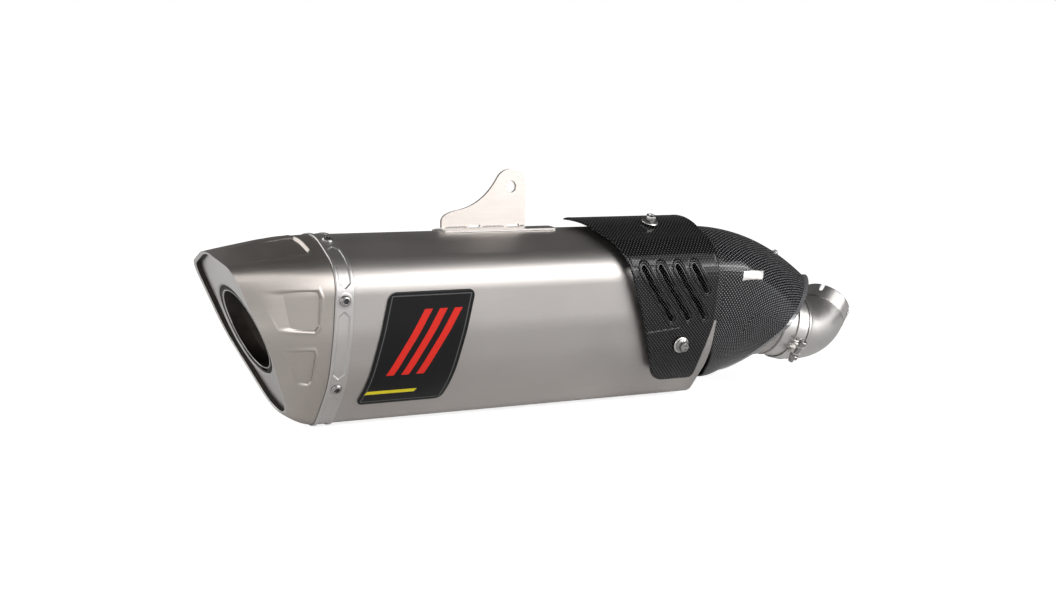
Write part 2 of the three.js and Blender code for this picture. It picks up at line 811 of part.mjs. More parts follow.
// The cover leaves the sleeve straight ahead and curves in to its raked rim.
function coverSkin(share, grow) {
  const base = coverBack(grow);
  const edge = coverRing(-coverLip, grow);
  return base.map((point, i) => {
    const middle = new THREE.Vector3((point.x + edge[i].x) / 2, point.y, point.z);
    return new THREE.QuadraticBezierCurve3(point, middle, edge[i]).getPoint(share);
  });
}

function makeCover() {
  const steps = [0, 0.25, 0.5, 0.75, 1];
  add(canister, 'front_cover', shell([
    ...steps.map((share) => coverSkin(share, 0)),
    coverRing(0, -coverLip / 2),
    coverRing(0, -coverLip / 2 - coverWall),
    ...steps.slice().reverse().map((share) => coverSkin(share, -coverWall)),
  ]), 'carbon');
}

// ---------------------------------------------------------------- side shield

const shieldInside = shieldGap;
const shieldOutside = shieldGap + shieldWall;
const shieldFront = sleeveLength - shieldFrontSetback;

// A slot through the shield's flank, drawn in the XZ plane and cut along Y.
function slotTool(index) {
  const isShort = index === slotCount - 1;
  const bottom = isShort ? slotShortBottom : slotBottom;
  const run = new THREE.Vector2((slotTop - bottom) * slotLean, bottom - slotTop);
  const radius = slotWidth / 2;
  const reach = run.length() - slotWidth;
  const slot = new THREE.Shape();
  slot.absarc(0, 0, radius, Math.PI / 2, (3 * Math.PI) / 2, false);
  slot.absarc(reach, 0, radius, -Math.PI / 2, Math.PI / 2, false);
  slot.closePath();
  const options = { depth: halfWidth, bevelEnabled: false, curveSegments: 5 };
  const tool = new THREE.ExtrudeGeometry(slot, options).translate(radius, 0, 0);
  tool.rotateX(Math.PI / 2).rotateY(-run.angle());
  const x = sleeveLength - slotFirstSetback + index * slotPitch;
  return tidy(tool.translate(x, -halfWidth / 2, slotTop));
}

function makeShield() {
  const rows = [
    ...stops.map((stop) => (
      stop > section.length / 2 ? stop - section.length : stop
    )).filter((stop) => stop > shieldTip + 3 && stop < shieldBottom - shieldCorner - 3),
    shieldFarEdge,
    shieldTip,
    ...cornerRows(shieldCorner).map((step) => shieldBottom - step),
  ].sort((a, b) => a - b);
  const rear = sleeveLength - shieldCrownReach;
  const rearEdge = (along) => (
    rear + shieldLean * along - shieldHornCurl * Math.max(0, shieldHornFrom - along) ** 2
  );
  const reach = (along) => {
    const fromBottom = shieldBottom - along;
    const past = Math.max(0, shieldTip - along);
    const left = rearEdge(along + past) + shieldFarLean * past + drawIn(shieldCorner, fromBottom);
    return [left, shieldFront - drawIn(shieldCorner / 3, fromBottom)];
  };
  const sheet = skinPlate(rows, reach, shieldInside, shieldOutside);
  const slots = Array.from({ length: slotCount }, (_, i) => slotTool(i));
  const places = boltSpots.map(({ setback, along }) => (
    surface(sleeveLength - setback, along, shieldOutside)
  ));
  const holes = places.map(({ spot, away }) => rod(spot, away, 12, boltHole));
  add(canister, 'side_shield', cut(sheet, [...slots, ...holes]), 'carbon');

  boltSpots.forEach(({ name, setback, along }, i) => {
    const postLength = shieldInside - 2 * fitGap - facetRoom;
    const post = add(canister, `${name}_shield_post`, turned([
      [0, postDiameter / 2],
      [postLength, postDiameter / 2],
      [postLength, boltHole / 2],
      [0, boltHole / 2],
    ], 12), 'steel');
    stand(post, surface(sleeveLength - setback, along, fitGap));

    const washer = add(canister, `${name}_shield_washer`, turned([
      [fitGap, washerDiameter / 2],
      [fitGap + washerWall, washerDiameter / 2 - washerWall / 2],
      [fitGap + washerWall, boltHole / 2],
      [fitGap, boltHole / 2],
    ], 16), 'brightSteel');
    stand(washer, places[i]);

    const seat = 2 * fitGap + washerWall;
    const reachIn = shieldOutside - 3 * fitGap;
    const head = seat + boltFlangeHeight;
    const bolt = add(canister, `${name}_shield_bolt`, turnedFull([
      [head + boltHeadHeight - 2, 0],
      [head + boltHeadHeight - 2, boltHeadAcross * 0.25],
      [head + boltHeadHeight, boltHeadAcross * 0.28],
      [head + boltHeadHeight, boltHeadAcross / 2 - 0.5],
      [head + boltHeadHeight - 0.6, boltHeadAcross / 2],
      [head, boltHeadAcross / 2],
      [seat + 0.6, boltFlange / 2],
      [seat, boltFlange / 2],
      [seat, boltShank / 2],
      [-reachIn, boltShank / 2],
      [-reachIn, 0],
    ], 12), 'steel');
    stand(bolt, places[i]);
  });
}

// ---------------------------------------------------------------- collar, gasket and clamp

function makeCollar() {
  add(inlet, 'inlet_collar', turned([
    [-collarLength - 2, collarRadius],
    [-2, collarRadius],
    [-2, collarBore],
    [-collarLength - 2, collarBore],
  ], 40), 'titanium');
  const inner = spigotRadius + slideGap;
  add(inlet, 'pipe_gasket', turned([
    [-2 - gasketLength, inner + gasketWall],
    [-2, inner + gasketWall],
    [-2, inner],
    [-2 - gasketLength, inner],
  ], 40), 'graphite');
}

// The clamp's band and lugs are drawn in one plane, with the opening straight down,
// and the whole clamp is then turned to its place about the inlet axis.
const clampLift = { inner: collarRadius + slideGap, outer: collarRadius + slideGap + clampWall };
const clampCentre = -clampSetback - 2 - clampWidth / 2;

function makeClamp() {
  const clamp = new THREE.Group();
  clamp.rotation.x = radians(clampClocking);
  clamp.position.x = clampCentre;
  inlet.add(clamp);

  const { inner, outer } = clampLift;
  const edge = clampOpening / 2;
  const lugEdge = edge + clampLugWall;
  const reach = outer + clampLug;
  const innerTurn = Math.asin(edge / inner);
  const outerTurn = Math.asin(lugEdge / outer);
  const down = -Math.PI / 2;
  const band = new THREE.Shape();
  band.moveTo(edge, -reach);
  band.lineTo(lugEdge, -reach);
  band.absarc(0, 0, outer, down + outerTurn, down - outerTurn + 2 * Math.PI, false);
  band.lineTo(-lugEdge, -reach);
  band.lineTo(-edge, -reach);
  band.absarc(0, 0, inner, down - innerTurn + 2 * Math.PI, down + innerTurn, true);
  band.closePath();
  const options = { depth: clampWidth, bevelEnabled: false, curveSegments: 20 };
  const strip = new THREE.ExtrudeGeometry(band, options).translate(0, 0, -clampWidth / 2);
  // The drawing plane's axes become Y and Z, and its depth runs along X.
  strip.applyMatrix4(new THREE.Matrix4().makeBasis(
    new THREE.Vector3(0, 1, 0),
    new THREE.Vector3(0, 0, 1),
    new THREE.Vector3(1, 0, 0),
  ));
  const boltAt = -(outer + clampLug * 0.6);
  const across = new THREE.Vector3(0, 1, 0);
  const place = new THREE.Vector3(0, 0, boltAt);
  const hole = rod(place, across, 40, clampBoltDiameter + 2 * fitGap);
  add(clamp, 'clamp_band', cut(tidy(strip), [hole]), 'brightSteel');

  const head = lugEdge + fitGap;
  const bolt = add(clamp, 'clamp_bolt', turnedFull([
    [-head - clampHeadHeight, 0],
    [-head - clampHeadHeight, clampNutAcross / 2],
    [-head, clampNutAcross / 2],
    [-head, clampBoltDiameter / 2],
    [head + 2 * clampNutHeight, clampBoltDiameter / 2],
    [head + 2 * clampNutHeight, 0],
  ], 12), 'steel');
  bolt.quaternion.setFromUnitVectors(new THREE.Vector3(1, 0, 0), across);
  bolt.position.copy(place);

  const nutHole = clampBoltDiameter + 2 * fitGap;
  const nut = add(clamp, 'clamp_nut', hexNut(clampNutAcross, clampNutHeight, nutHole), 'steel');
  nut.quaternion.copy(bolt.quaternion);
  nut.position.copy(place).addScaledVector(across, head);
}

// ---------------------------------------------------------------- link elbow

// The elbow bends upwards in its own XZ plane. Each ring is square to its centre line.
const pipeSides = 30;
function pipeRing(turn, past, radius) {
  const out = new THREE.Vector3(-Math.sin(turn), 0, Math.cos(turn));
  const centre = new THREE.Vector3(0, 0, elbowBendRadius).addScaledVector(out, -elbowBendRadius);
  const onward = new THREE.Vector3(Math.cos(turn), 0, Math.sin(turn));
  centre.addScaledVector(onward, past);
  return Array.from({ length: pipeSides }, (_, i) => {
    const angle = (2 * Math.PI * i) / pipeSides;
    const side = new THREE.Vector3(0, Math.sin(angle), 0);
    return centre.clone().addScaledVector(out, radius * Math.cos(angle)).addScaledVector(side, radius);
  });
}

function makeLink() {
  const bend = radians(elbowBend);
  const bendSteps = spread(0, 1, 5);
  const radiusAt = (share) => THREE.MathUtils.lerp(elbowStartRadius, mouthRadius, share);
  const bead = 0.6;
  add(link, 'link_elbow', shell([
    pipeRing(0, -spigotReach, spigotRadius),
    pipeRing(0, -1, spigotRadius),
    pipeRing(0, -1, elbowStartRadius + bead),
    pipeRing(0, 1.4, elbowStartRadius + bead),
    ...bendSteps.map((share) => pipeRing(bend * share, share === 0 ? 1.8 : 0, radiusAt(share))),
    ...bendSteps.slice().reverse().map((share) => (
      pipeRing(bend * share, share === 0 ? 1.8 : 0, radiusAt(share) - pipeWall)
    )),
    pipeRing(0, -1, spigotRadius - pipeWall),
    pipeRing(0, -spigotReach, spigotRadius - pipeWall),
  ]), 'polished');

  const tube = shell([
    pipeRing(bend, fitGap, mouthRadius),
    pipeRing(bend, slipLength, mouthRadius),
    pipeRing(bend, slipLength, mouthRadius - pipeWall),
    pipeRing(bend, fitGap, mouthRadius - pipeWall),
  ]);
  const out = new THREE.Vector3(-Math.sin(bend), 0, Math.cos(bend));
  const onward = new THREE.Vector3(Math.cos(bend), 0, Math.sin(bend));
  const mouth = new THREE.Vector3(0, 0, elbowBendRadius)
    .addScaledVector(out, -elbowBendRadius).addScaledVector(onward, slipLength);
  const slits = Array.from({ length: slitCount }, (_, i) => {
    const turn = radians(slitClocking) + (2 * Math.PI * i) / slitCount;
    const away = out.clone().applyAxisAngle(onward, turn);
    const slit = new THREE.BoxGeometry(2 * slitLength, slitWidth, 8).translate(0, 0, mouthRadius);
    const frame = new THREE.Matrix4().makeBasis(onward, away.clone().cross(onward), away);
    return tidy(slit.applyMatrix4(frame).translate(mouth.x, mouth.y, mouth.z));
  });
  add(link, 'slip_end', cut(tube, slits), 'polished');
}

// ---------------------------------------------------------------- assembly

makeSleeve();
makeStrap();
makeEndCap();
makeOutlet();
makeInside();
makeEmblem();
makeHanger();
makeDome();
makeCover();
makeShield();
makeCollar();
makeClamp();
makeLink();

link.rotation.x = radians(elbowClocking);
inlet.add(link);
inlet.rotation.y = radians(inletPitch);
inlet.position.copy(inletStart);
canister.add(inlet);
canister.position.copy(hangerHole).negate();

const exhaust = new THREE.Group();
exhaust.add(canister);

export default exhaust;
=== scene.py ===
"""A slip-on racing silencer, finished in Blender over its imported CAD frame.

The design frame is in millimetres: X runs along the canister from the outlet end of
the rear strap, Z is up from mid-height of the section, and the scene's origin is the
hanger's bolt hole. Every new surface is a grid function of two parameters.
"""
import math

import bpy
import numpy as np
from bpy.props import FloatProperty, FloatVectorProperty, PointerProperty
from mathutils import Matrix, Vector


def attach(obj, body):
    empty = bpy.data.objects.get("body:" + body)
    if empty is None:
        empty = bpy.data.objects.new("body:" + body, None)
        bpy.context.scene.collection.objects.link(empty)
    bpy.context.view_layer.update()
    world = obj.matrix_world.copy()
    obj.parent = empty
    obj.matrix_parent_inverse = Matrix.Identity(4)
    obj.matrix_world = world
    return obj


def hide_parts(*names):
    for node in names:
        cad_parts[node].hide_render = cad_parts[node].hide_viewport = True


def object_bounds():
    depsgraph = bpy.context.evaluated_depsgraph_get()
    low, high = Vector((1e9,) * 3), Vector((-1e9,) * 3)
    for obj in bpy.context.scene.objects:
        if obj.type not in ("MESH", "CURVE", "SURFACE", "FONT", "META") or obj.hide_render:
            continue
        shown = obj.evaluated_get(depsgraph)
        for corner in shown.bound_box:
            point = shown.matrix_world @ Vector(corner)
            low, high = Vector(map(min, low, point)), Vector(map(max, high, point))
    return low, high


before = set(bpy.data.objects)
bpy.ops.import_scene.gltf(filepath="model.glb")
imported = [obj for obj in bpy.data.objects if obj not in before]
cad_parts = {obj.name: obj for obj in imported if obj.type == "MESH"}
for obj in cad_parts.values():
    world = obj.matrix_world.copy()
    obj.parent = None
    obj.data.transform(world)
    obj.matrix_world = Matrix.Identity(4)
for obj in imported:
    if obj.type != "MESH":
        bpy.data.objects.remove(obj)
CAD_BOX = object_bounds()

bl_info = {
    "name": "Slip-on Silencer",
    "blender": (4, 5, 0),
    "version": (1, 0, 0),
    "location": "3D View > Sidebar > Silencer",
    "description": "Builds the visible surfaces and finishes of a slip-on racing silencer",
    "category": "Object",
}

MM = 0.001
HANGER_HOLE = np.array((187.5, 3.0, 113.7))
SLEEVE_LENGTH = 369.0
FIT = 0.3                       # gap between two pieces that touch
AROUND = 384                    # columns round a section
PIPE_AROUND = 96                # columns round a pipe
TURNED_AROUND = 72              # columns round a small turned piece

# Corners of half an outline from the crown to the keel: distance out, height, fillet radius.
SECTION_HALF = ((0, 85.3, 56.8), (61.6, 51.7, 28.9), (53.6, 0, 96.7), (41.4, -40.4, 80), (0, -86.3, 17.7))
RIM_HALF = ((0, 68.5, 52), (49.7, 54.9, 14.5), (52.1, -3.2, 56), (0, -100, 30))

STRAP_WIDTH = 16.0
STRAP_TOP = 1.5
RIVETS_ALONG = (24.0, 86.0, 161.0)
BASE_TOP = 1.9                  # top of the hanger's base above the sleeve
BRACKET_HALF = 1.6              # half the bracket's thickness
CORE_HEIGHT = 4.0
INLET_START = np.array((492.0, 0.0, -25.0))
INLET_PITCH = math.radians(14)
COLLAR_BACK = -30.0             # where the collar meets the dome, along the inlet's axis
COLLAR_MOUTH = -2.0
COLLAR_BORE = 29.8
COLLAR_RADIUS = 31.2
ELBOW_CLOCKING = math.radians(-19)
ELBOW_BEND = math.radians(58)
BEND_RADIUS = 45.0
MOUTH_RADIUS = 25.4
SLIP_LENGTH = 15.85
CLAMP_CLOCKING = math.radians(-57)
CLAMP_CENTRE = -10.0
SHIELD_RANGE = (-16.0, 175.0)
SHIELD_BOLTS = {"upper": (312.0, 24.0), "lower": (327.0, 139.0)}
SLOTS = ((279.0, 70.0, 117.0), (296.5, 70.0, 117.0), (314.0, 70.0, 117.0), (331.5, 70.0, 94.0))
SLOT_LEAN = 0.76
SLOT_RADIUS = 3.0


# ---------------------------------------------------------------- curves

def unit(vectors):
    """The vectors scaled to length one."""
    return vectors / np.linalg.norm(vectors, axis=-1, keepdims=True)


def smoothstep(low, high, value):
    """0 below low, 1 above high, and 3t^2 - 2t^3 between."""
    share = np.clip((value - low) / (high - low), 0, 1)
    return share * share * (3 - 2 * share)


def through(knots, count):
    """A Catmull-Rom curve: a cubic per span, whose end slopes are half the chord between the neighbours."""
    knots = np.asarray(knots, float)
    padded = np.vstack([2 * knots[0] - knots[1], knots, 2 * knots[-1] - knots[-2]])
    place = np.linspace(0, len(knots) - 1, count)
    span = np.minimum(place.astype(int), len(knots) - 2)
    t = (place - span)[:, None]
    a, b, c, d = (padded[span + k] for k in range(4))
    square, cube = 2 * a - 5 * b + 4 * c - d, 3 * b - a - 3 * c + d
    return 0.5 * (2 * b + (c - a) * t + square * t ** 2 + cube * t ** 3)


class Outline:
    """A closed outline in YZ: straight edges joined by circular fillets tangent to both.

    Distances run from the crown down the near side (-Y) to the keel and up the far side.
    """

    def __init__(self, half, samples=48):
        corners = [(-y, z, r) for y, z, r in half] + [(y, z, r) for y, z, r in half[-2:0:-1]]
        place = np.array(corners, float)[:, :2]
        radius = np.array(corners, float)[:, 2]
        back = np.roll(place, 1, 0) - place
        ahead = np.roll(place, -1, 0) - place
        halves = np.arccos((unit(back) * unit(ahead)).sum(1)) / 2
        run = radius / np.tan(halves)
        room = np.minimum(1, np.linalg.norm(ahead, axis=1) / (run + np.roll(run, -1)))
        share = np.minimum(room, np.roll(room, 1))
        radius, run = radius * share, run * share
        centre = place + unit(unit(back) + unit(ahead)) * (radius / np.sin(halves))[:, None]
        enter = place + unit(back) * run[:, None]
        begin = np.arctan2(*(enter - centre).T[::-1])
        turn = begin[:, None] + (math.pi - 2 * halves)[:, None] * np.linspace(0, 1, samples)
        out = np.stack([np.cos(turn), np.sin(turn)], -1)
        points = centre[:, None] + out * radius[:, None, None]
        middle = samples // 2
        points = np.roll(points.reshape(-1, 2), -middle, 0)
        out = np.roll(out.reshape(-1, 2), -middle, 0)
        crown = (points[:1] + points[-1:]) / 2
        up = np.array([[0.0, 1.0]])
        self.points = np.vstack([crown, points, crown])
        self.out = np.vstack([up, out, up])
        steps = np.linalg.norm(np.diff(self.points, axis=0), axis=1)
        self.distance = np.concatenate([[0], np.cumsum(steps)])
        self.length = self.distance[-1]

    def at(self, distance):
        """(points, outward directions) at distances along the outline, by linear interpolation."""
        d = np.mod(distance, self.length)
        pick = lambda table: np.stack([np.interp(d, self.distance, table[:, k]) for k in (0, 1)], -1)
        return pick(self.points), unit(pick(self.out))


SECTION = Outline(SECTION_HALF)
RIM = Outline(RIM_HALF)
SHARES = np.arange(AROUND) / AROUND


def rim_plane(height):
    """X of the end cap's rim at a height: a plane that leans back 0.46 for each unit up."""
    return -55 - 0.46 * height


def cover_plane(height):
    """X of the cover's rim at a height: a plane that leans forward 1.18 for each unit up."""
    return SLEEVE_LENGTH + 112 + 1.18 * height


def skin(x, along, grow=0.0):
    """Points on the canister: the section's point at that distance, moved out by grow."""
    point, out = SECTION.at(along)
    point = point + out * np.asarray(grow)[..., None]
    x = np.broadcast_to(x, point.shape[:-1])
    return np.concatenate([x[..., None], point], -1)


def section_ring(x, grow):
    """One turn of the canister's section at X, moved out by grow."""
    return skin(np.full(AROUND, float(x)), SHARES * SECTION.length, np.full(AROUND, float(grow)))


def rim_ring(depth, grow):
    """One turn of the end cap's rim, on the plane that leans back with height."""
    point, out = RIM.at(SHARES * RIM.length)
    point = point + out * grow
    return np.stack([rim_plane(point[:, 1]) + depth, point[:, 0], point[:, 1]], -1)


def oval_ring(place, wide, tall, height, power, shares=SHARES):
    """A superellipse: cosine and sine each raised to 2 / power, with X from place(z)."""
    turn = 2 * math.pi * shares
    bulge = lambda v: np.sign(v) * np.abs(v) ** (2 / power)
    z = height + tall * bulge(np.cos(turn))
    return np.stack([place(z), -wide * bulge(np.sin(turn)), z], -1)


def outlet_ring(depth, wide, tall):
    """A ring of the outlet, behind the rim's plane by depth: a superellipse of power 2.15."""
    return oval_ring(lambda z: rim_plane(z) + depth, wide, tall, 3.5, 2.15)


def outlet_rings(depth, wide, tall, steps):
    """Rings of the outlet, each (further in, larger) than the given one by one of the steps."""
    return [outlet_ring(depth + further, wide + larger, tall + larger) for further, larger in steps]


def round_ring(x, radius):
    """A circle square to X round the core's axis."""
    return oval_ring(lambda z: np.full(AROUND, float(x)), radius, radius, CORE_HEIGHT, 2)


def frame_axes(x_axis, hint=(0, 0, 1)):
    """Three unit axes, as rows, with X along x_axis."""
    x = unit(np.array(x_axis, float))
    y = unit(np.cross(np.array(hint, float), x))
    return np.stack([x, y, np.cross(x, y)])


def turned_about_x(axes, angle):
    """The axes turned about their own X."""
    c, s = math.cos(angle), math.sin(angle)
    return np.array(((1, 0, 0), (0, c, s), (0, -s, c))) @ axes


INLET_AXES = np.array((
    (math.cos(INLET_PITCH), 0, -math.sin(INLET_PITCH)),
    (0, 1, 0),
    (math.sin(INLET_PITCH), 0, math.cos(INLET_PITCH)),
))
LINK_AXES = turned_about_x(INLET_AXES, ELBOW_CLOCKING)
CLAMP_AXES = turned_about_x(INLET_AXES, CLAMP_CLOCKING)


def placed(points, origin, axes):
    """Local points carried to the design frame."""
    return np.asarray(origin, float) + points @ axes


def surface_place(x, along, grow):
    """(origin, axes) of a frame that stands on the canister, X outwards."""
    origin = skin(np.array([x]), np.array([along]), np.array([grow]))[0]
    _, out = SECTION.at(np.array([along]))
    return origin, frame_axes((0, *out[0]), (1, 0, 0))


def turned(profile, sides=TURNED_AROUND):
    """A surface of revolution about X: each profile row (along, radius, hexagon share) is one ring.

    A row with hexagon share 1 has the radius of a regular hexagon with that apothem.
    """
    rows = np.array([(*row, 0)[:3] for row in profile], float)
    turn = 2 * math.pi * np.arange(sides) / sides
    flat = 1 / np.cos(np.mod(turn + math.pi / 6, math.pi / 3) - math.pi / 6)
    radius = rows[:, 1:2] * (1 + rows[:, 2:3] * (flat - 1))
    along = np.broadcast_to(rows[:, :1], radius.shape)
    return np.stack([along, radius * np.cos(turn), radius * np.sin(turn)], -1)


# ---------------------------------------------------------------- meshes

def grid_piece(name, points, around=True, loop=False, uv=None, keep=None, sharp=38, out=None):
    """A mesh object from a grid of design-frame points, one quad per cell.

    around joins the last column to the first, loop the last row to the first. uv has one
    more column or row where the grid closes. keep is a mask of cells. out is a direction
    that open sheets face; closed grids face away from their volume.
    """
    rows, cols = points.shape[:2]
    down, across = np.arange(rows if loop else rows - 1), np.arange(cols if around else cols - 1)
    i, j = np.meshgrid(down, across, indexing="ij")
    i2, j2 = (i + 1) % rows, (j + 1) % cols
    quads = np.stack([i * cols + j, i2 * cols + j, i2 * cols + j2, i * cols + j2], -1)
    cells = np.ones(i.shape, bool) if keep is None else keep
    quads = quads[cells]
    vertices = (points.reshape(-1, 3) - HANGER_HOLE) * MM
    corner = vertices[quads]
    area = np.cross(corner[:, 2] - corner[:, 0], corner[:, 3] - corner[:, 1])
    if out is None:
        middle = vertices[np.unique(quads)].mean(0)
        facing = ((corner.mean(1) - middle) * area).sum()
    else:
        facing = (area * np.asarray(out)).sum()
    flip = facing < 0
    if flip:
        quads = quads[:, ::-1]
    used, quads_used = np.unique(quads, return_inverse=True)
    mesh = bpy.data.meshes.new(name)
    mesh.from_pydata(vertices[used].tolist(), [], quads_used.reshape(-1, 4).tolist())
    if uv is not None:
        corners = np.stack([uv[i, j], uv[i + 1, j], uv[i + 1, j + 1], uv[i, j + 1]], 2)[cells]
        if flip:
            corners = corners[:, ::-1]
        layer = mesh.uv_layers.new(name="UVMap")
        layer.data.foreach_set("uv", np.ascontiguousarray(corners, dtype=np.float32).ravel())
    mesh.shade_smooth()
    mesh.set_sharp_from_angle(angle=math.radians(sharp))
    mesh.update()
    piece = bpy.data.objects.new(name, mesh)
    bpy.context.scene.collection.objects.link(piece)
    return piece


def finish_piece(piece, material, slot, body="muffler", nodes=()):
    """Gives the piece its material, its body and the CAD nodes it stands for; the slot is not used."""
    piece.data.materials.append(MATERIALS[material])
    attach(piece, body)
    if nodes:
        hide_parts(*nodes)


def finish_node(name, material, bevel=0.0):
    """A better material, and an optional edge bevel, for a CAD node that stays."""
    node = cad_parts.get(name)
    if node is None:
        raise RuntimeError(f"the frame has no node named {name}")
    for place in node.material_slots:
        place.material = MATERIALS[material]
    if bevel:
        edge = node.modifiers.new("edge", "BEVEL")
        edge.width = bevel
        edge.segments = 2
        edge.limit_method = "ANGLE"
        edge.angle_limit = math.radians(40)


def seam(name, ring_radius, along, bead, origin, axes):
    """A weld bead: a torus whose tube radius ripples with the angle."""
    ripples = 70
    turn = 2 * math.pi * np.arange(ripples * 4) / (ripples * 4)
    tube = 2 * math.pi * np.arange(12) / 12
    size = bead * (0.9 + 0.1 * np.cos(ripples * turn))[None, :]
    lean = 0.3 * bead * np.cos(ripples * turn)[None, :] * np.sin(tube)[:, None] ** 2
    radius = ring_radius + size * np.cos(tube)[:, None]
    x = along + size * np.sin(tube)[:, None] + lean
    points = np.stack([x, radius * np.cos(turn), radius * np.sin(turn)], -1)
    return grid_piece(name, placed(points, origin, axes), loop=True, sharp=80)


# ---------------------------------------------------------------- materials

class Graph:
    """A small helper that writes a material's node tree."""

    def __init__(self, name):
        self.material = bpy.data.materials.get(name) or bpy.data.materials.new(name)
        self.material.use_nodes = True
        self.tree = self.material.node_tree
        self.tree.nodes.clear()
        self.shader = self.tree.nodes.new("ShaderNodeBsdfPrincipled")
        output = self.tree.nodes.new("ShaderNodeOutputMaterial")
        self.tree.links.new(self.shader.outputs[0], output.inputs["Surface"])

    def put(self, socket, value):
        """Links a socket or sets a value."""
        if isinstance(value, bpy.types.NodeSocket):
            self.tree.links.new(value, socket)
        elif value is not None:
            socket.default_value = value

    def node(self, kind, settings=None, **inputs):
        """A new node; an input is given by name, or by number after an underscore."""
        made = self.tree.nodes.new(kind)
        for key, value in (settings or {}).items():
            setattr(made, key, value)
        for key, value in inputs.items():
            place = int(key[1:]) if key[0] == "_" else key.replace("_", " ")
            self.put(made.inputs[place], value)
        return made

    def math(self, operation, a, b=0.0, c=0.0):
        """One arithmetic step."""
        return self.node("ShaderNodeMath", {"operation": operation}, _0=a, _1=b, _2=c).outputs[0]

    def place(self, source="Object", scale=(1, 1, 1)):
        """The texture coordinate, scaled."""
        where = self.node("ShaderNodeTexCoord").outputs[source]
        return self.node("ShaderNodeMapping", Vector=where, Scale=scale).outputs[0]

    def noise(self, vector, scale, detail=3.0, roughness=0.55):
        """Fractal noise from about 0.3 to 0.7."""
        made = self.node("ShaderNodeTexNoise", Vector=vector, Scale=scale, Detail=detail, Roughness=roughness)
        return made.outputs["Fac"]

    def span(self, value, low, high, source_low=0.3, source_high=0.7):
        """The value carried from its source range to low and high."""
        limits = {"_1": source_low, "_2": source_high, "_3": low, "_4": high}
        return self.node("ShaderNodeMapRange", None, Value=value, **limits).outputs[0]

    def mix(self, share, a, b):
        """a at share 0 and b at share 1."""
        made = self.node("ShaderNodeMix", {"data_type": "RGBA"})
        self.put(made.inputs[0], share)
        self.put(made.inputs[6], a)
        self.put(made.inputs[7], b)
        return made.outputs[2]

    def bump(self, height, strength, distance):
        """A normal tilted by the height."""
        made = self.node("ShaderNodeBump", None, Height=height, Strength=strength, Distance=distance)
        return made.outputs[0]

    def surface(self, **inputs):
        """Sets the shader's inputs and gives the material."""
        for key, value in inputs.items():
            self.put(self.shader.inputs[key.replace("_", " ")], value)
        return self.material


def shade(color, factor):
    """The colour times the factor, with alpha one."""
    return (*(channel * factor for channel in color[:3]), 1.0)


def metal(name, color, roughness, grain=(6, 140, 140), streak=0.06, cloud=0.10, bump=0.03):
    """Rolled or brushed metal: long fine streaks over soft clouds, in colour, roughness and height."""
    g = Graph(name)
    streaks = g.noise(g.place(scale=grain), 9, 4)
    clouds = g.noise(g.place(), 14, 3)
    specks = g.noise(g.place(), 900, 2)
    tone = g.mix(g.span(clouds, 0, 1), shade(color, 1 - cloud), shade(color, 1 + cloud))
    tone = g.mix(g.span(streaks, 0, 0.3), tone, shade(color, 0.9))
    rough = g.span(streaks, roughness - streak, roughness + streak)
    rough = g.math("ADD", rough, g.span(clouds, -0.03, 0.03))
    height = g.math("ADD", streaks, g.math("MULTIPLY", specks, 0.4))
    return g.surface(Base_Color=tone, Metallic=1.0, Roughness=rough, Normal=g.bump(height, bump, 0.0005))


def heat_dark(name, color):
    """Heat-stained steel: blotched soot over dull metal, with a trace of brown."""
    g = Graph(name)
    blotch = g.noise(g.place(), 45, 5, 0.65)
    fine = g.noise(g.place(), 420, 3)
    brown = shade((color[0] * 1.5, color[1] * 1.3, color[2] * 1.1), 1.2)
    tone = g.mix(g.span(blotch, 0, 1), shade(color, 0.6), brown)
    rough = g.span(blotch, 0.36, 0.62)
    return g.surface(Base_Color=tone, Metallic=0.75, Roughness=rough, Normal=g.bump(fine, 0.15, 0.0006))


def weave(name, color, tow, coat=0.9):
    """Lacquered plain weave: cells of tow width, warp on top where column + row is even.

    Each tow is a parabola across its width and carries fine streaks along its length. The crowns of the warp
    tows carry painted glints, and the valleys between tows carry painted shade.
    """
    g = Graph(name)
    where = g.place("UV", scale=(1 / tow, 1 / tow, 1))
    parts = g.node("ShaderNodeSeparateXYZ", None, Vector=where).outputs
    u, v = parts[0], parts[1]
    order = g.math("ADD", g.math("FLOOR", u), g.math("FLOOR", v))
    warp = g.math("LESS_THAN", g.math("FLOORED_MODULO", order, 2.0), 1.0)
    centred = lambda t: g.math("MULTIPLY_ADD", g.math("FRACT", t), 2.0, -1.0)
    crown = lambda t: g.math("SUBTRACT", 1.0, g.math("POWER", centred(t), 2.0))
    weft = g.math("SUBTRACT", 1.0, warp)
    height = g.math("ADD", g.math("MULTIPLY", crown(u), warp), g.math("MULTIPLY", crown(v), weft))
    along_v = g.noise(g.node("ShaderNodeMapping", None, Vector=where, Scale=(9, 0.4, 1)).outputs[0], 1.6, 2)
    along_u = g.noise(g.node("ShaderNodeMapping", None, Vector=where, Scale=(0.4, 9, 1)).outputs[0], 1.6, 2)
    fibre = g.mix(warp, along_u, along_v)
    # Bright dots on the crowns of the warp tows, at 42 times the base colour: a painted glint where the tows
    # catch the light.
    painted_glint = g.math("MULTIPLY", warp, g.span(g.math("MULTIPLY", crown(u), crown(v)), 0, 1, 0.4, 0.85))
    tone = g.mix(painted_glint, shade(color, 0.05), shade(color, 42.0))
    tone = g.mix(g.span(fibre, 0, 0.5), tone, shade(color, 0.5))
    # Darker where the weave's height is low: painted shade in the valleys between tows.
    tone = g.mix(g.span(height, 0.95, 0.0, 0.2, 0.8), tone, shade(color, 0.1))
    cloud = g.noise(g.place(), 22, 2)
    return g.surface(
        Base_Color=tone, Metallic=0.0, Roughness=g.span(fibre, 0.30, 0.46), Specular_IOR_Level=0.05,
        Coat_Weight=coat, Coat_Roughness=g.span(cloud, 0.03, 0.08), Coat_IOR=1.4,
        Normal=g.bump(height, 0.7, 0.00035))


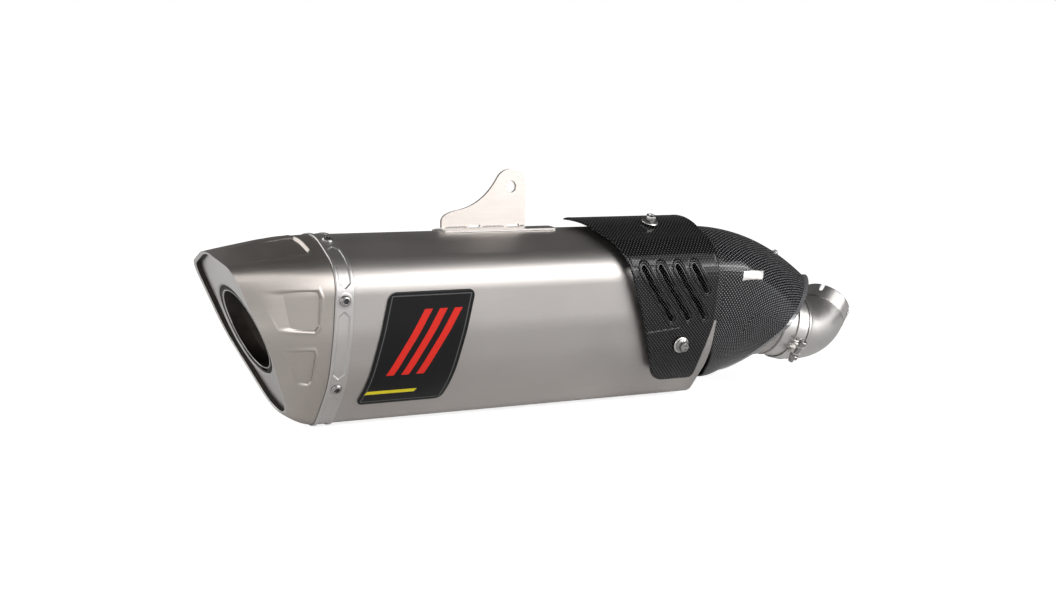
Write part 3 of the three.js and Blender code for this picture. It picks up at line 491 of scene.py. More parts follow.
def lacquer(name, color):
    """Thick clear lacquer over black: a gloss with a faint orange peel."""
    g = Graph(name)
    peel = g.noise(g.place(), 260, 2)
    return g.surface(Base_Color=shade(color, 1.0), Roughness=g.span(peel, 0.10, 0.16), Specular_IOR_Level=0.8,
                     Coat_Weight=1.0, Coat_Roughness=0.05, Normal=g.bump(peel, 0.05, 0.0002))


def badge(name, color, red, yellow, size):
    """Black plate: a fine inset border, slanting bars and a rule under them, from the plate's own UV."""
    g = Graph(name)
    parts = g.node("ShaderNodeSeparateXYZ", None, Vector=g.place("UV")).outputs
    u, v = parts[0], parts[1]
    centre = lambda t, half: g.math("SUBTRACT", g.math("ABSOLUTE", g.math("SUBTRACT", t, half)), half)
    edge = g.math("MAXIMUM", centre(u, size[0] / 2), centre(v, size[1] / 2))
    border = g.math("COMPARE", edge, -0.0034, 0.00045)
    across, up = g.math("SUBTRACT", u, size[0] / 2), g.math("SUBTRACT", v, size[1] / 2)
    lean = g.math("MULTIPLY_ADD", up, 0.35, across)
    count = g.math("FRACT", g.math("MULTIPLY_ADD", lean, 75.0, 0.5))
    stripe = g.math("LESS_THAN", g.math("ABSOLUTE", g.math("SUBTRACT", count, 0.5)), 0.26)
    inside = g.math("LESS_THAN", g.math("ABSOLUTE", lean), 0.020)
    tall = g.math("LESS_THAN", g.math("ABSOLUTE", g.math("SUBTRACT", v, size[1] / 2 - 0.008)), 0.028)
    bars = g.math("MULTIPLY", stripe, g.math("MULTIPLY", inside, tall))
    below = g.math("COMPARE", v, size[1] - 0.014, 0.0018)
    rule = g.math("MULTIPLY", below, g.math("LESS_THAN", g.math("ABSOLUTE", lean), 0.022))
    mark = g.math("MAXIMUM", border, g.math("MAXIMUM", bars, rule))
    dust = g.noise(g.place(), 300, 3)
    tone = g.mix(border, shade(color, 1.0), (0.10, 0.10, 0.10, 1))
    tone = g.mix(bars, tone, (*red, 1))
    tone = g.mix(rule, tone, (*yellow, 1))
    return g.surface(Base_Color=tone, Roughness=g.span(dust, 0.30, 0.40), Specular_IOR_Level=0.25,
                     Normal=g.bump(mark, 0.4, 0.0002))


def fibre_wool(name, color):
    """Packed glass fibre: tangled strands from two stretched noises."""
    g = Graph(name)
    strands = g.noise(g.place(scale=(1, 9, 2)), 160, 5, 0.7)
    tangle = g.noise(g.place(scale=(8, 1, 5)), 120, 5, 0.7)
    height = g.math("ADD", strands, tangle)
    tone = g.mix(g.span(height, 0, 1, 0.7, 1.3), shade(color, 0.55), shade(color, 1.05))
    return g.surface(Base_Color=tone, Roughness=0.95, Sheen_Weight=0.4, Normal=g.bump(height, 0.8, 0.002))


def graphite(name, color):
    """Pressed graphite: dull, fine-grained, faintly streaked round the ring."""
    g = Graph(name)
    grain = g.noise(g.place(), 700, 4)
    tone = g.mix(g.span(grain, 0, 1), shade(color, 0.7), shade(color, 1.25))
    return g.surface(Base_Color=tone, Metallic=0.2, Roughness=g.span(grain, 0.55, 0.8),
                     Normal=g.bump(grain, 0.3, 0.0004))


def materials(finish):
    """Every material of the object, by name."""
    brushed = {"grain": (3, 60, 60), "streak": 0.03, "cloud": 0.03, "bump": 0.008}
    return {
        "titanium": metal("titanium", finish.titanium, 0.44, streak=0.03, cloud=0.03, bump=0.012),
        "strap": metal("strap steel", shade(finish.bright_steel, 0.82), 0.42, **brushed),
        "slot_lip": lacquer("lacquered edge", finish.carbon),
        # The cover's rim band is carbon at sixteen times its colour: a painted reflection of light off the
        # rim at a grazing angle.
        "cover_rim_reflection": lacquer("cover rim painted reflection", shade(finish.carbon, 16.0)),
        # The shield takes the cover's carbon at 0.35 of its colour: painted shade, the same twill drawn
        # darker on the shield.
        "shaded_shield_carbon": weave("shield carbon twill painted darker", shade(finish.carbon, 0.35), finish.weave_width, 0.8),
        "cap_titanium": metal(
            "cap titanium", finish.cap_titanium, 0.40,
            grain=(4, 60, 60), streak=0.03, cloud=0.05, bump=0.012),
        "bright_steel": metal("bright steel", finish.bright_steel, 0.36, **brushed),
        "polished_steel": metal(
            "polished steel", finish.polished_steel, 0.33,
            grain=(30, 30, 4), streak=0.04, cloud=0.04, bump=0.01),
        "dark_steel": heat_dark("heat-darkened steel", finish.dark_steel),
        "steel": metal("plain steel", finish.steel, 0.28, grain=(50, 50, 50), cloud=0.08),
        "carbon": weave("carbon twill", finish.carbon, finish.weave_width),
        "wool": fibre_wool("fibre packing", finish.wool),
        "graphite": graphite("graphite", finish.graphite),
        "emblem": badge("badge", finish.badge, finish.badge_bars, finish.badge_rule, (0.077, 0.102)),
    }


MATERIALS = {}                  # filled by the first operator


# ---------------------------------------------------------------- settings

def length(name, description, default):
    """A length in metres for a property group."""
    return FloatProperty(
        name=name, description=description, default=default, min=0.0, unit="LENGTH", precision=5)


def colour(name, description, default):
    """A colour for a property group."""
    return FloatVectorProperty(
        name=name, description=description, default=default, subtype="COLOR", size=3, min=0, max=1)


class SilencerSizes(bpy.types.PropertyGroup):
    """Sizes of the pressed and welded detail."""

    strap_recess: length("Strap recess", "Depth of the strap's pressed panels", 0.0009)
    pocket_depth: length("Cap pockets", "Depth of the end cap's pressed pockets", 0.0023)
    slot_lip: length("Slot lip", "Height of the rolled lip round each shield slot", 0.0008)
    weld_bead: length("Weld bead", "Radius of the weld beads", 0.0013)
    floor_drop: length("Floor drop", "Height of the object above the floor", 0.001)


class SilencerFinish(bpy.types.PropertyGroup):
    """Colours of the object's finishes."""

    titanium: colour("Titanium", "Canister sleeve and dome", (0.56, 0.53, 0.51))
    cap_titanium: colour("Cap titanium", "End cap", (0.50, 0.46, 0.43))
    bright_steel: colour("Bright steel", "Strap, liner, bracket and clamp", (0.76, 0.74, 0.72))
    polished_steel: colour("Polished steel", "Link elbow", (0.69, 0.67, 0.65))
    dark_steel: colour("Dark steel", "Outlet tube and damper", (0.035, 0.033, 0.032))
    steel: colour("Plain steel", "Rivets and bolts", (0.42, 0.41, 0.40))
    carbon: colour("Carbon", "Cover and shield", (0.0085, 0.0085, 0.009))
    wool: colour("Packing", "Fibre packing", (0.70, 0.66, 0.50))
    graphite: colour("Graphite", "Pipe gasket", (0.045, 0.045, 0.048))
    badge: colour("Badge", "Emblem plate", (0.006, 0.006, 0.007))
    badge_bars: colour("Badge bars", "Slanting bars on the emblem plate", (0.72, 0.025, 0.015))
    badge_rule: colour("Badge rule", "Rule under the bars", (0.78, 0.66, 0.02))
    weave_width: length("Weave", "Width of one carbon tow", 0.0016)


class PieceOperator:
    """Shared by the operators that build pieces."""

    bl_options = {"REGISTER"}

    def execute(self, context):
        if not MATERIALS:
            MATERIALS.update(materials(context.scene.silencer_finish))
        self.build(context.scene.silencer_sizes)
        return {"FINISHED"}


# ---------------------------------------------------------------- canister

def ring_uv(points):
    """UV in metres of rings that close both ways: distance round the ring, distance from ring to ring."""
    closed = np.concatenate([points, points[:, :1]], 1)
    across = np.linalg.norm(np.diff(closed, axis=1), axis=2).cumsum(1)
    across = np.concatenate([np.zeros((len(points), 1)), across], 1).mean(0)
    up = np.linalg.norm(np.diff(points, axis=0), axis=2).mean(1)
    up = np.concatenate([[0], up.cumsum()])
    uv = np.stack(np.meshgrid(up * MM, across * MM, indexing="ij"), -1)
    return np.concatenate([uv, uv[-1:] + (0.002, 0)])


class SILENCER_OT_sleeve(PieceOperator, bpy.types.Operator):
    """Builds the rolled sleeve: the section swept along X, with rolled ends"""

    bl_idname = "silencer.sleeve"
    bl_label = "Sleeve"

    def build(self, sizes):
        ends = [(0.3, -0.8), (0.45, -0.2), (0.9, 0.0)]
        outside = [section_ring(x, grow) for x, grow in ends]
        outside += [section_ring(x, 0) for x in np.linspace(20, SLEEVE_LENGTH - 20, 24)]
        outside += [section_ring(SLEEVE_LENGTH + FIT - x, grow) for x, grow in reversed(ends)]
        inside = [section_ring(SLEEVE_LENGTH, -1.0), section_ring(FIT, -1.0)]
        piece = grid_piece("sleeve_skin", np.stack(outside + inside), loop=True, sharp=60)
        finish_piece(piece, "titanium", "titanium", nodes=["outer_sleeve"])


class SILENCER_OT_strap(PieceOperator, bpy.types.Operator):
    """Builds the rear strap: a band whose height dips in pointed panels and rises in seats at the rivets"""

    bl_idname = "silencer.strap"
    bl_label = "Rear strap and rivets"

    def build(self, sizes):
        columns = 1100
        along = np.arange(columns) / columns * SECTION.length
        rolled = np.array([0, 0.15, 0.5, 1.0])
        x = np.concatenate([rolled, np.linspace(1.7, STRAP_WIDTH - 1.7, 30), STRAP_WIDTH - rolled[::-1]])
        grid_x, grid_s = np.meshgrid(x, along, indexing="ij")
        off = np.abs(grid_x - STRAP_WIDTH / 2)
        stops = sorted([*RIVETS_ALONG, *(SECTION.length - a for a in RIVETS_ALONG)])
        recess = np.zeros_like(grid_x)
        for start, end in zip(stops, [*stops[1:], stops[0] + SECTION.length]):
            middle, half = (start + end) / 2, (end - start) / 2 - 8.5
            shift = np.abs(np.mod(grid_s - middle + SECTION.length / 2, SECTION.length) - SECTION.length / 2)
            inside = np.minimum(5.2 - off, (half - shift - 0.9 * off) * 0.74)
            recess = np.maximum(recess, smoothstep(0, 0.9, inside))
        seats = np.zeros_like(grid_x)
        for stop in stops:
            shift = np.mod(grid_s - stop + SECTION.length / 2, SECTION.length) - SECTION.length / 2
            seats = np.maximum(seats, 1 - smoothstep(5.6, 6.6, np.hypot(shift, grid_x - STRAP_WIDTH / 2)))
        edge = np.minimum(grid_x, STRAP_WIDTH - grid_x)
        round_off = 0.9 - np.sqrt(np.maximum(0, 0.81 - np.maximum(0, 0.9 - edge) ** 2))
        height = STRAP_TOP - 0.25 + 0.25 * seats - sizes.strap_recess / MM * recess - round_off
        outside = skin(grid_x, grid_s, np.maximum(height, 0.32))
        inside = skin(grid_x[[-1, 0]], grid_s[[-1, 0]], np.full((2, columns), FIT))
        piece = grid_piece("strap_band", np.concatenate([outside, inside]), loop=True, sharp=50)
        finish_piece(piece, "strap", "bright_steel", nodes=["rear_strap"])

        profile = [(-3.5, 0.02), (-3.5, 2.4), (0.1, 2.4), (0.1, 4.6), (0.5, 4.74), (1.0, 4.6), (1.6, 4.15),
                   (2.1, 3.5), (2.4, 2.9), (2.45, 2.6), (2.3, 2.2, 1), (0.6, 2.1, 1), (0.3, 0.02)]
        sides = [(side, k) for side in (-1, 1) for k in range(len(RIVETS_ALONG))]
        for number, (side, k) in enumerate(sides, 1):
            origin, axes = surface_place(STRAP_WIDTH / 2, side * RIVETS_ALONG[k], STRAP_TOP)
            rivet = grid_piece(f"strap_rivet_{number}", placed(turned(profile), origin, axes), sharp=45)
            finish_piece(rivet, "steel", "steel", nodes=[f"rear_rivet_{number}"])
            # A dark graphite disc down each rivet's hex socket: painted shade in the recess.
            floor = placed(turned([(1.3, 2.12, 1), (1.3, 0.02)]), origin, axes)
            socket = grid_piece(f"rivet_socket_painted_shade_{number}", floor, out=tuple(axes[0]))
            finish_piece(socket, "graphite", "dark_steel")


# ---------------------------------------------------------------- end cap and outlet

CAP_DEPTH = 80                  # length of the cap from strap to rim, for the pockets' shares

# Outlines of the end cap's pressed pockets: distances along the section and shares from
# strap to rim.
POCKETS = (
    ((8, 0.17), (35, 0.13), (39, 0.16), (46, 0.86), (12, 0.84)),
    ((77, 0.19), (83, 0.16), (106, 0.19), (110, 0.26), (107, 0.77), (74, 0.87)),
    ((126, 0.28), (130, 0.25), (154, 0.33), (158, 0.39), (158, 0.62), (125, 0.80)),
)


def cap_ring(share, grow):
    """The cap's skin: X goes straight from the strap to the rim, Y and Z by the share to the power 1.6."""
    base, edge = section_ring(-FIT, grow), rim_ring(0, grow)
    ease = share ** 1.6
    return base + (edge - base) * np.array((share, ease, ease))


def pocket_depth(along, share):
    """1 in a pocket, 0 outside and a little under 0 on the lip round it.

    The least distance inside the outline's edges is smoothed and fades towards the rim.
    along is folded onto the near side, so that both sides carry the same pockets.
    """
    depth, lift = np.zeros_like(along), np.zeros_like(along)
    near = np.where(along > SECTION.length / 2, SECTION.length - along, along)
    fade = 1 - smoothstep(0.30, 0.85, share)
    for corners in POCKETS:
        corners = np.array(corners) * (1, CAP_DEPTH)
        inside = np.full_like(along, 99.0)
        for a, b in zip(corners, np.roll(corners, -1, 0)):
            way = (b - a) / np.linalg.norm(b - a)
            inside = np.minimum(inside, (near - a[0]) * -way[1] + (share * CAP_DEPTH - a[1]) * way[0])
        rolled = smoothstep(-3.0, -0.9, inside) * (1 - smoothstep(-0.9, 0.7, inside))
        depth = np.maximum(depth, smoothstep(-0.2, 2.2, inside) * fade)
        lift = np.maximum(lift, rolled * fade)
    return depth - 0.30 * lift


class SILENCER_OT_end_cap(PieceOperator, bpy.types.Operator):
    """Builds the raked end cap, its pressed pockets and its rolled rim"""

    bl_idname = "silencer.end_cap"
    bl_label = "End cap"

    def build(self, sizes):
        shares = np.linspace(0, 1, 120)
        outside = np.stack([cap_ring(share, 0) for share in shares])
        slope = np.cross(np.gradient(outside, axis=1), np.gradient(outside, axis=0))
        away = unit(slope)
        centre = outside.mean((0, 1))
        if ((outside - centre) * away).sum() < 0:
            away = -away
        along = np.broadcast_to(SHARES * SECTION.length, outside.shape[:2])
        share = np.broadcast_to(shares[:, None], outside.shape[:2])
        dent = pocket_depth(along, share) * sizes.pocket_depth / MM
        outside = outside - away * dent[..., None]
        lip = [rim_ring(0.6, -0.3), rim_ring(0.6, -1.9), rim_ring(1.0, -2.0)]
        back = [rim_ring(1.0, -1.1)] + [cap_ring(s, -1.0) for s in (0.65, 0.3)]
        spigot = [section_ring(x, grow) for x, grow in ((-2.5, -2.3), (14, -2.3), (14, -1.3), (-FIT, -1.3))]
        rings = np.concatenate([outside, np.stack(lip + back + spigot)])
        piece = grid_piece("end_cap_skin", rings, loop=True, sharp=55)
        finish_piece(piece, "cap_titanium", "cap_titanium", nodes=["end_cap"])
        rolled = ((0.75, 0.02), (0.35, -0.02), (0.1, -0.3), (0.0, -0.8), (0.0, -1.4), (0.2, -1.95),
                  (0.6, -2.3), (1.0, -2.3), (1.0, -1.2))
        piece = grid_piece("rim_bead", np.stack([rim_ring(d, g) for d, g in rolled]), loop=True, sharp=80)
        finish_piece(piece, "bright_steel", "cap_titanium")


class SILENCER_OT_outlet(PieceOperator, bpy.types.Operator):
    """Builds the liner, outlet tube and damper: superellipse rings that ease into circles, and the clip"""

    bl_idname = "silencer.outlet"
    bl_label = "Outlet and damper"

    def build(self, sizes):
        wide, tall = 38.0, 36.0
        liner = [rim_ring(5.6, -1.6), rim_ring(5.2, -3.2), rim_ring(4.9, -5.2)]
        inner, outer = rim_ring(4.8, -6.2), outlet_ring(3.0, wide + 3.0, tall + 3.0)
        liner += [inner + (outer - inner) * share for share in (0.2, 0.5, 0.8, 1.0)]
        lip = ((0, 1.8), (0.1, 0.9), (0.5, 0.2), (1.0, 0), (2.0, 0), (2.2, 1.2))
        liner += outlet_rings(2.9, wide, tall, lip)
        liner += [rim_ring(6.0, -6.2), rim_ring(6.4, -1.6)]
        piece = grid_piece("outlet_liner_skin", np.stack(liner), loop=True)
        finish_piece(piece, "bright_steel", "bright_steel", nodes=["outlet_liner"])
        # The rim's inner wall, from the rolled hem back to the liner, in dark steel: partly the metal's own
        # darkening, partly painted shade in the recess behind the rim.
        wall = [rim_ring(1.05, -2.15), rim_ring(1.05, -1.45), rim_ring(5.5, -1.45), rim_ring(5.5, -2.15)]
        piece = grid_piece("rim_wall_dark_steel_and_shade", np.stack(wall), loop=True)
        finish_piece(piece, "dark_steel", "dark_steel")

        shrink = lambda a, b, count: [a + (b - a) * smoothstep(0, 1, t) for t in np.linspace(0, 1, count)]
        tube = [outlet_ring(d, wide - 0.3, tall - 0.3) for d in (3.9, 19.9)]
        tube += shrink(outlet_ring(21, wide - 0.3, tall - 0.3), round_ring(50, 27.5), 12)
        tube += [round_ring(60, 27.5), round_ring(60, 26.3), round_ring(50, 26.3)]
        tube += shrink(round_ring(49, 26.3), outlet_ring(20, wide - 1.5, tall - 1.5), 12)
        tube += [outlet_ring(3.9, wide - 1.5, tall - 1.5)]
        piece = grid_piece("outlet_tube_skin", np.stack(tube), loop=True)
        finish_piece(piece, "dark_steel", "dark_steel", nodes=["outlet_tube"])

        flange, front = -1.9, 5.6
        bore_w, bore_t, wall, pipe = 33.2, 31.2, 1.2, 18.0
        damper = outlet_rings(front, wide, tall, ((0, flange), (wall, flange)))
        damper += outlet_rings(front, bore_w, bore_t, ((wall, wall), (10, wall)))
        throat = outlet_ring(front + 11, bore_w + wall, bore_t + wall)
        damper += shrink(throat, round_ring(-1, pipe + wall), 10)
        damper += [round_ring(44, pipe + wall), round_ring(44, pipe), round_ring(0, pipe)]
        damper += shrink(round_ring(-1, pipe), outlet_ring(front + 11, bore_w, bore_t), 10)
        damper += outlet_rings(front, bore_w, bore_t, ((-0.7, 0), (-1.0, 0.4), (-0.7, 0.9), (0, 1.0)))
        piece = grid_piece("damper_skin", np.stack(damper), loop=True)
        finish_piece(piece, "dark_steel", "dark_steel", "damper", ["damper_insert"])
        lip = ((-0.8, -0.1), (-1.5, 0.0), (-1.7, 0.4), (-1.5, 0.9), (-0.8, 1.0), (-0.6, 0.4))
        rings = np.stack(outlet_rings(front, bore_w, bore_t, lip))
        piece = grid_piece("damper_lip", rings, loop=True, sharp=80)
        finish_piece(piece, "polished_steel", "dark_steel", "damper")
        finish_node("damper_clip", "dark_steel", 0.0003)


# ---------------------------------------------------------------- emblem, hanger and inside

class SILENCER_OT_emblem(PieceOperator, bpy.types.Operator):
    """Builds the emblem plate: a leaning rounded panel that follows the sleeve, with a crowned edge"""

    bl_idname = "silencer.emblem"
    bl_label = "Emblem plate"

    def build(self, sizes):
        top, bottom, width, corner = 81.0, 183.0, 77.0, 7.0
        along = top + (bottom - top) * (1 - np.cos(np.linspace(0, math.pi, 90))) / 2
        from_end = np.minimum(along - top, bottom - along)
        inward = corner - np.sqrt(np.maximum(0, corner ** 2 - np.maximum(0, corner - from_end) ** 2))
        left = 29.5 + 16 * (bottom - along) / (bottom - top)
        span = (1 - np.cos(np.linspace(0, math.pi, 60))) / 2
        x = (left + inward)[:, None] + (width - 2 * inward)[:, None] * span
        edge = np.minimum(np.minimum(x - left[:, None], left[:, None] + width - x), from_end[:, None])
        grow = 0.85 + 0.25 * smoothstep(0, 1.4, edge)
        grid_s = np.broadcast_to(along[:, None], x.shape)
        outside, inside = skin(x, grid_s, grow), skin(x, grid_s, np.full(x.shape, FIT))
        lean = np.stack([x - left[:, None], grid_s - top], -1) * MM
        piece = grid_piece("emblem_skin", outside, around=False, uv=lean, out=(0, -1, 0), sharp=60)
        finish_piece(piece, "emblem", "emblem", nodes=["emblem_plate"])
        border = lambda g: np.concatenate([g[0], g[1:, -1], g[-1, -2::-1], g[-2:0:-1, 0]])
        rim = grid_piece("emblem_edge", np.stack([border(outside), border(inside)]), uv=None)
        finish_piece(rim, "steel", "emblem")


class SILENCER_OT_hanger(PieceOperator, bpy.types.Operator):
    """Finishes the hanger's base and bracket and lays the welds: tubes that ripple and taper along X"""

    bl_idname = "silencer.hanger"
    bl_label = "Hanger"

    def build(self, sizes):
        finish_node("hanger_base", "bright_steel", 0.0004)
        finish_node("hanger_bracket", "cap_titanium", 0.0005)
        bead = sizes.weld_bead / MM
        foot = skin(np.array([0.0]), np.array([0.0]), np.array([BASE_TOP]))[0, 2]
        for number, (start, end) in enumerate(((-62, -42), (-27, -7), (9, 13)), 1):
            x = HANGER_HOLE[0] + np.linspace(start, end, 90)
            turn = np.linspace(0, 2 * math.pi, 12, endpoint=False)
            taper = np.sqrt(np.clip(1 - np.linspace(-1, 1, 90) ** 8, 0.02, 1))
            size = bead * (0.75 + 0.12 * np.cos(2.6 * x)) * taper
            for side in (-1, 1):
                y = HANGER_HOLE[1] + side * BRACKET_HALF + size[:, None] * np.cos(turn)
                z = foot + 0.1 + size[:, None] * np.sin(turn)
                points = np.stack([np.broadcast_to(x[:, None], y.shape), y, z], -1)
                name = f"bracket_weld_{number}_{'near' if side < 0 else 'far'}"
                weld = grid_piece(name, points, sharp=80)
                finish_piece(weld, "steel", "steel")


class SILENCER_OT_inside(PieceOperator, bpy.types.Operator):
    """Finishes the core, the baffles and the packing"""

    bl_idname = "silencer.inside"
    bl_label = "Inside"

    def build(self, sizes):
        finish_node("core_tube", "steel")
        finish_node("rear_baffle", "steel")
        finish_node("front_baffle", "steel")
        finish_node("packing", "wool")


# ---------------------------------------------------------------- front dome, cover and shield

def inlet_ring(along, radius):
    """A circle square to the inlet's axis."""
    turn = 2 * math.pi * SHARES
    local = np.stack([np.full(AROUND, float(along)), -radius * np.sin(turn), radius * np.cos(turn)], -1)
    return placed(local, INLET_START, INLET_AXES)


def cover_ring(depth, grow, shares=SHARES):
    """The cover's rim, ahead of its plane by depth: a superellipse of power 1.5."""
    return oval_ring(lambda z: cover_plane(z) + depth, 42.0 + grow, 42.8 + grow, -18.0, 1.5, shares)


def cover_point(share, along, grow):
    """A quadratic Bezier from the sleeve's end, which leaves straight ahead, to the raked rim."""
    base = skin(SLEEVE_LENGTH + 2, along, grow - 2.0)
    tuck = np.maximum(0, -30 - base[..., 2]) / 56.3
    base = base + np.stack([16 * tuck, 0 * tuck, 15.4 * tuck ** 2], -1)
    edge = cover_ring(-4.5, grow, along / SECTION.length)
    middle = base.copy()
    middle[..., 0] = (base[..., 0] + edge[..., 0]) / 2
    share = np.asarray(share)[..., None]
    return (1 - share) ** 2 * base + 2 * share * (1 - share) * middle + share ** 2 * edge


def cover_row(share, grow):
    """One turn of the cover at a share from the sleeve to the rim, with a fine pressed slit on each side."""
    along = SHARES * SECTION.length
    near = np.minimum(along, SECTION.length - along)
    off = (share - 0.51 + 0.00256 * (near - 115.5)) * 110
    slit = np.exp(-(off / 0.9) ** 2) * smoothstep(112, 116, near) * (1 - smoothstep(133, 137, near))
    return cover_point(np.full(AROUND, share), along, grow - 1.2 * slit)


class SILENCER_OT_front(PieceOperator, bpy.types.Operator):
    """Builds the dome, blended ring by ring from the section to the inlet's circle, and its carbon cover"""

    bl_idname = "silencer.front"
    bl_label = "Front dome and cover"

    def build(self, sizes):
        ease = through([(0, 0), (0.03, 0.25), (0.08, 0.5), (0.16, 0.7), (0.5, 0.87), (1, 1)], 48)
        def skin_rings(grow, radius):
            start, end = section_ring(SLEEVE_LENGTH + FIT + grow, -1.3 + grow), inlet_ring(-30.3, radius)
            return [start + (end - start) * np.array((f, w, w)) for f, w in ease]
        rings = [section_ring(355, -1.3)] + skin_rings(0, COLLAR_RADIUS)
        rings += skin_rings(-1.1, COLLAR_BORE)[::-1] + [section_ring(355, -2.4)]
        piece = grid_piece("dome_skin", np.stack(rings), loop=True)
        finish_piece(piece, "titanium", "titanium", nodes=["front_dome"])

        rings = [cover_row(0, -0.6)] + [cover_row(s, 0) for s in np.linspace(0.004, 1, 150)]
        rolled = ((-4.4, 0.0), (-0.5, -0.1), (-0.1, -0.3), (0, -0.8), (0, -3.7))
        rings += [cover_ring(d, g) for d, g in rolled]
        rings += [cover_row(s, -1.4) for s in np.linspace(1, 0, 12)]
        rings = np.stack(rings)
        piece = grid_piece("cover_shell", rings, loop=True, uv=ring_uv(rings), sharp=28)
        finish_piece(piece, "carbon", "carbon", nodes=["front_cover"])

        # The band round the cover's rim takes the pale rim material: painted reflection on the carbon.
        band = ((-6.4, -0.1), (-6.0, 0.45), (-0.5, 0.3), (-0.1, 0.0), (-0.1, -0.7), (-6.4, -0.7))
        rings = np.stack([cover_ring(d, g) for d, g in band])
        piece = grid_piece("cover_rim_band", rings, loop=True, sharp=40)
        finish_piece(piece, "cover_rim_reflection", "carbon")

        # The cover's tongue under the shield's front edge. Past along 58 it reaches back to just inside the
        # shield's rear edge: a dark carbon sheet under the slots, painted shade on the sleeve seen through
        # them.
        share, s = np.meshgrid(np.linspace(0, 1, 40), np.linspace(-24, 122, 150), indexing="ij")
        start = 352 + (shield_reach(s)[0] + 9 - 352) * smoothstep(50, 58, s)
        x = start + (371.4 - start) * share
        grow = 0.5 - 0.15 * smoothstep(116, 122, s) + 0.25 * smoothstep(0, 1, np.minimum(s + 24, 122 - s))
        uv = np.stack([x, s], -1) * MM
        tongue = grid_piece("cover_tongue_and_slot_shade", skin(x, s, grow), around=False, uv=uv, out=(0, -1, 0.3))
        finish_piece(tongue, "carbon", "carbon")

        u, v = np.meshgrid(np.linspace(0, 1, 40), np.linspace(0, 1, 24), indexing="ij")
        edge = np.minimum(np.minimum(u, 1 - u) * 26, np.minimum(v, 1 - v) * 12)
        points = cover_point(0.24 + 0.24 * u, 75 - 7.5 * u + 10 * v, 0.5 * smoothstep(0, 0.8, edge) - 0.05)
        tag = grid_piece("cover_tag", points, around=False, out=(0, -1, 0), sharp=60)
        finish_piece(tag, "bright_steel", "bright_steel")
        spot = cover_point(np.array([0.72]), np.array([12.0]), np.array([0.0]))[0]
        stud = [(-0.8, 0.02), (-0.8, 3.0), (0.2, 3.1), (0.8, 2.9), (0.9, 2.0), (2.2, 1.9), (2.5, 1.6),
                (2.6, 0.02)]
        points = placed(turned(stud), spot, frame_axes((0.45, -0.2, 0.87), (0, 1, 0)))
        piece = grid_piece("cover_stud", points, sharp=40)
        finish_piece(piece, "steel", "steel")


def shield_reach(along):
    """(rear, front) X of the shield at each distance: a leaning rear edge with a horn at the crown."""
    past = np.maximum(0, 4.0 - along)
    held = along + past
    rear = SLEEVE_LENGTH - 130.5 + 0.394 * held - 0.006 * np.maximum(0, 30 - held) ** 2 + 1.2 * past
    up = SHIELD_RANGE[1] - along
    draw = lambda radius: radius - np.sqrt(np.maximum(0, radius ** 2 - np.maximum(0, radius - up) ** 2))
    return rear + draw(15.0), SLEEVE_LENGTH - 9 - draw(5.0) - 7 * smoothstep(114, 160, along)


def slot_distance(x, along):
    """Distance to the nearest slot's edge, negative inside, and the direction away from its middle line.

    A slot is a straight run with round ends, in X and distance along the section.
    """
    best = np.full(x.shape, 99.0)
    step_x, step_s = np.zeros_like(x), np.zeros_like(x)
    for start, top, bottom in SLOTS:
        run = np.array(((bottom - top) * SLOT_LEAN, bottom - top))
        way = run / np.linalg.norm(run)
        reach = np.linalg.norm(run) - 2 * SLOT_RADIUS
        from_x, from_s = x - start - way[0] * SLOT_RADIUS, along - top - way[1] * SLOT_RADIUS
        t = np.clip(from_x * way[0] + from_s * way[1], 0, reach)
        off_x, off_s = from_x - t * way[0], from_s - t * way[1]
        size = np.maximum(np.hypot(off_x, off_s), 1e-6)
        nearer = size - SLOT_RADIUS < best
        best = np.where(nearer, size - SLOT_RADIUS, best)
        step_x, step_s = np.where(nearer, off_x / size, step_x), np.where(nearer, off_s / size, step_s)
    return best, step_x, step_s


def slot_outline(start, top, bottom):
    """(points, directions) round one slot: two straight sides joined by half circles, in X and distance."""
    way = unit(np.array((SLOT_LEAN, 1.0)))
    reach = np.hypot((bottom - top) * SLOT_LEAN, bottom - top) - 2 * SLOT_RADIUS
    bend = np.linspace(-math.pi / 2, math.pi / 2, 16)
    angle = np.concatenate([bend, np.full(30, math.pi / 2), bend + math.pi, np.full(30, -math.pi / 2)])
    side = np.linspace(0.02, 0.98, 30)
    run = np.concatenate([np.ones(16), side[::-1], np.zeros(16), side])
    out = np.cos(angle)[:, None] * way + np.sin(angle)[:, None] * np.array((-way[1], way[0]))
    return np.array((start, top)) + way * (SLOT_RADIUS + run[:, None] * reach) + out * SLOT_RADIUS, out


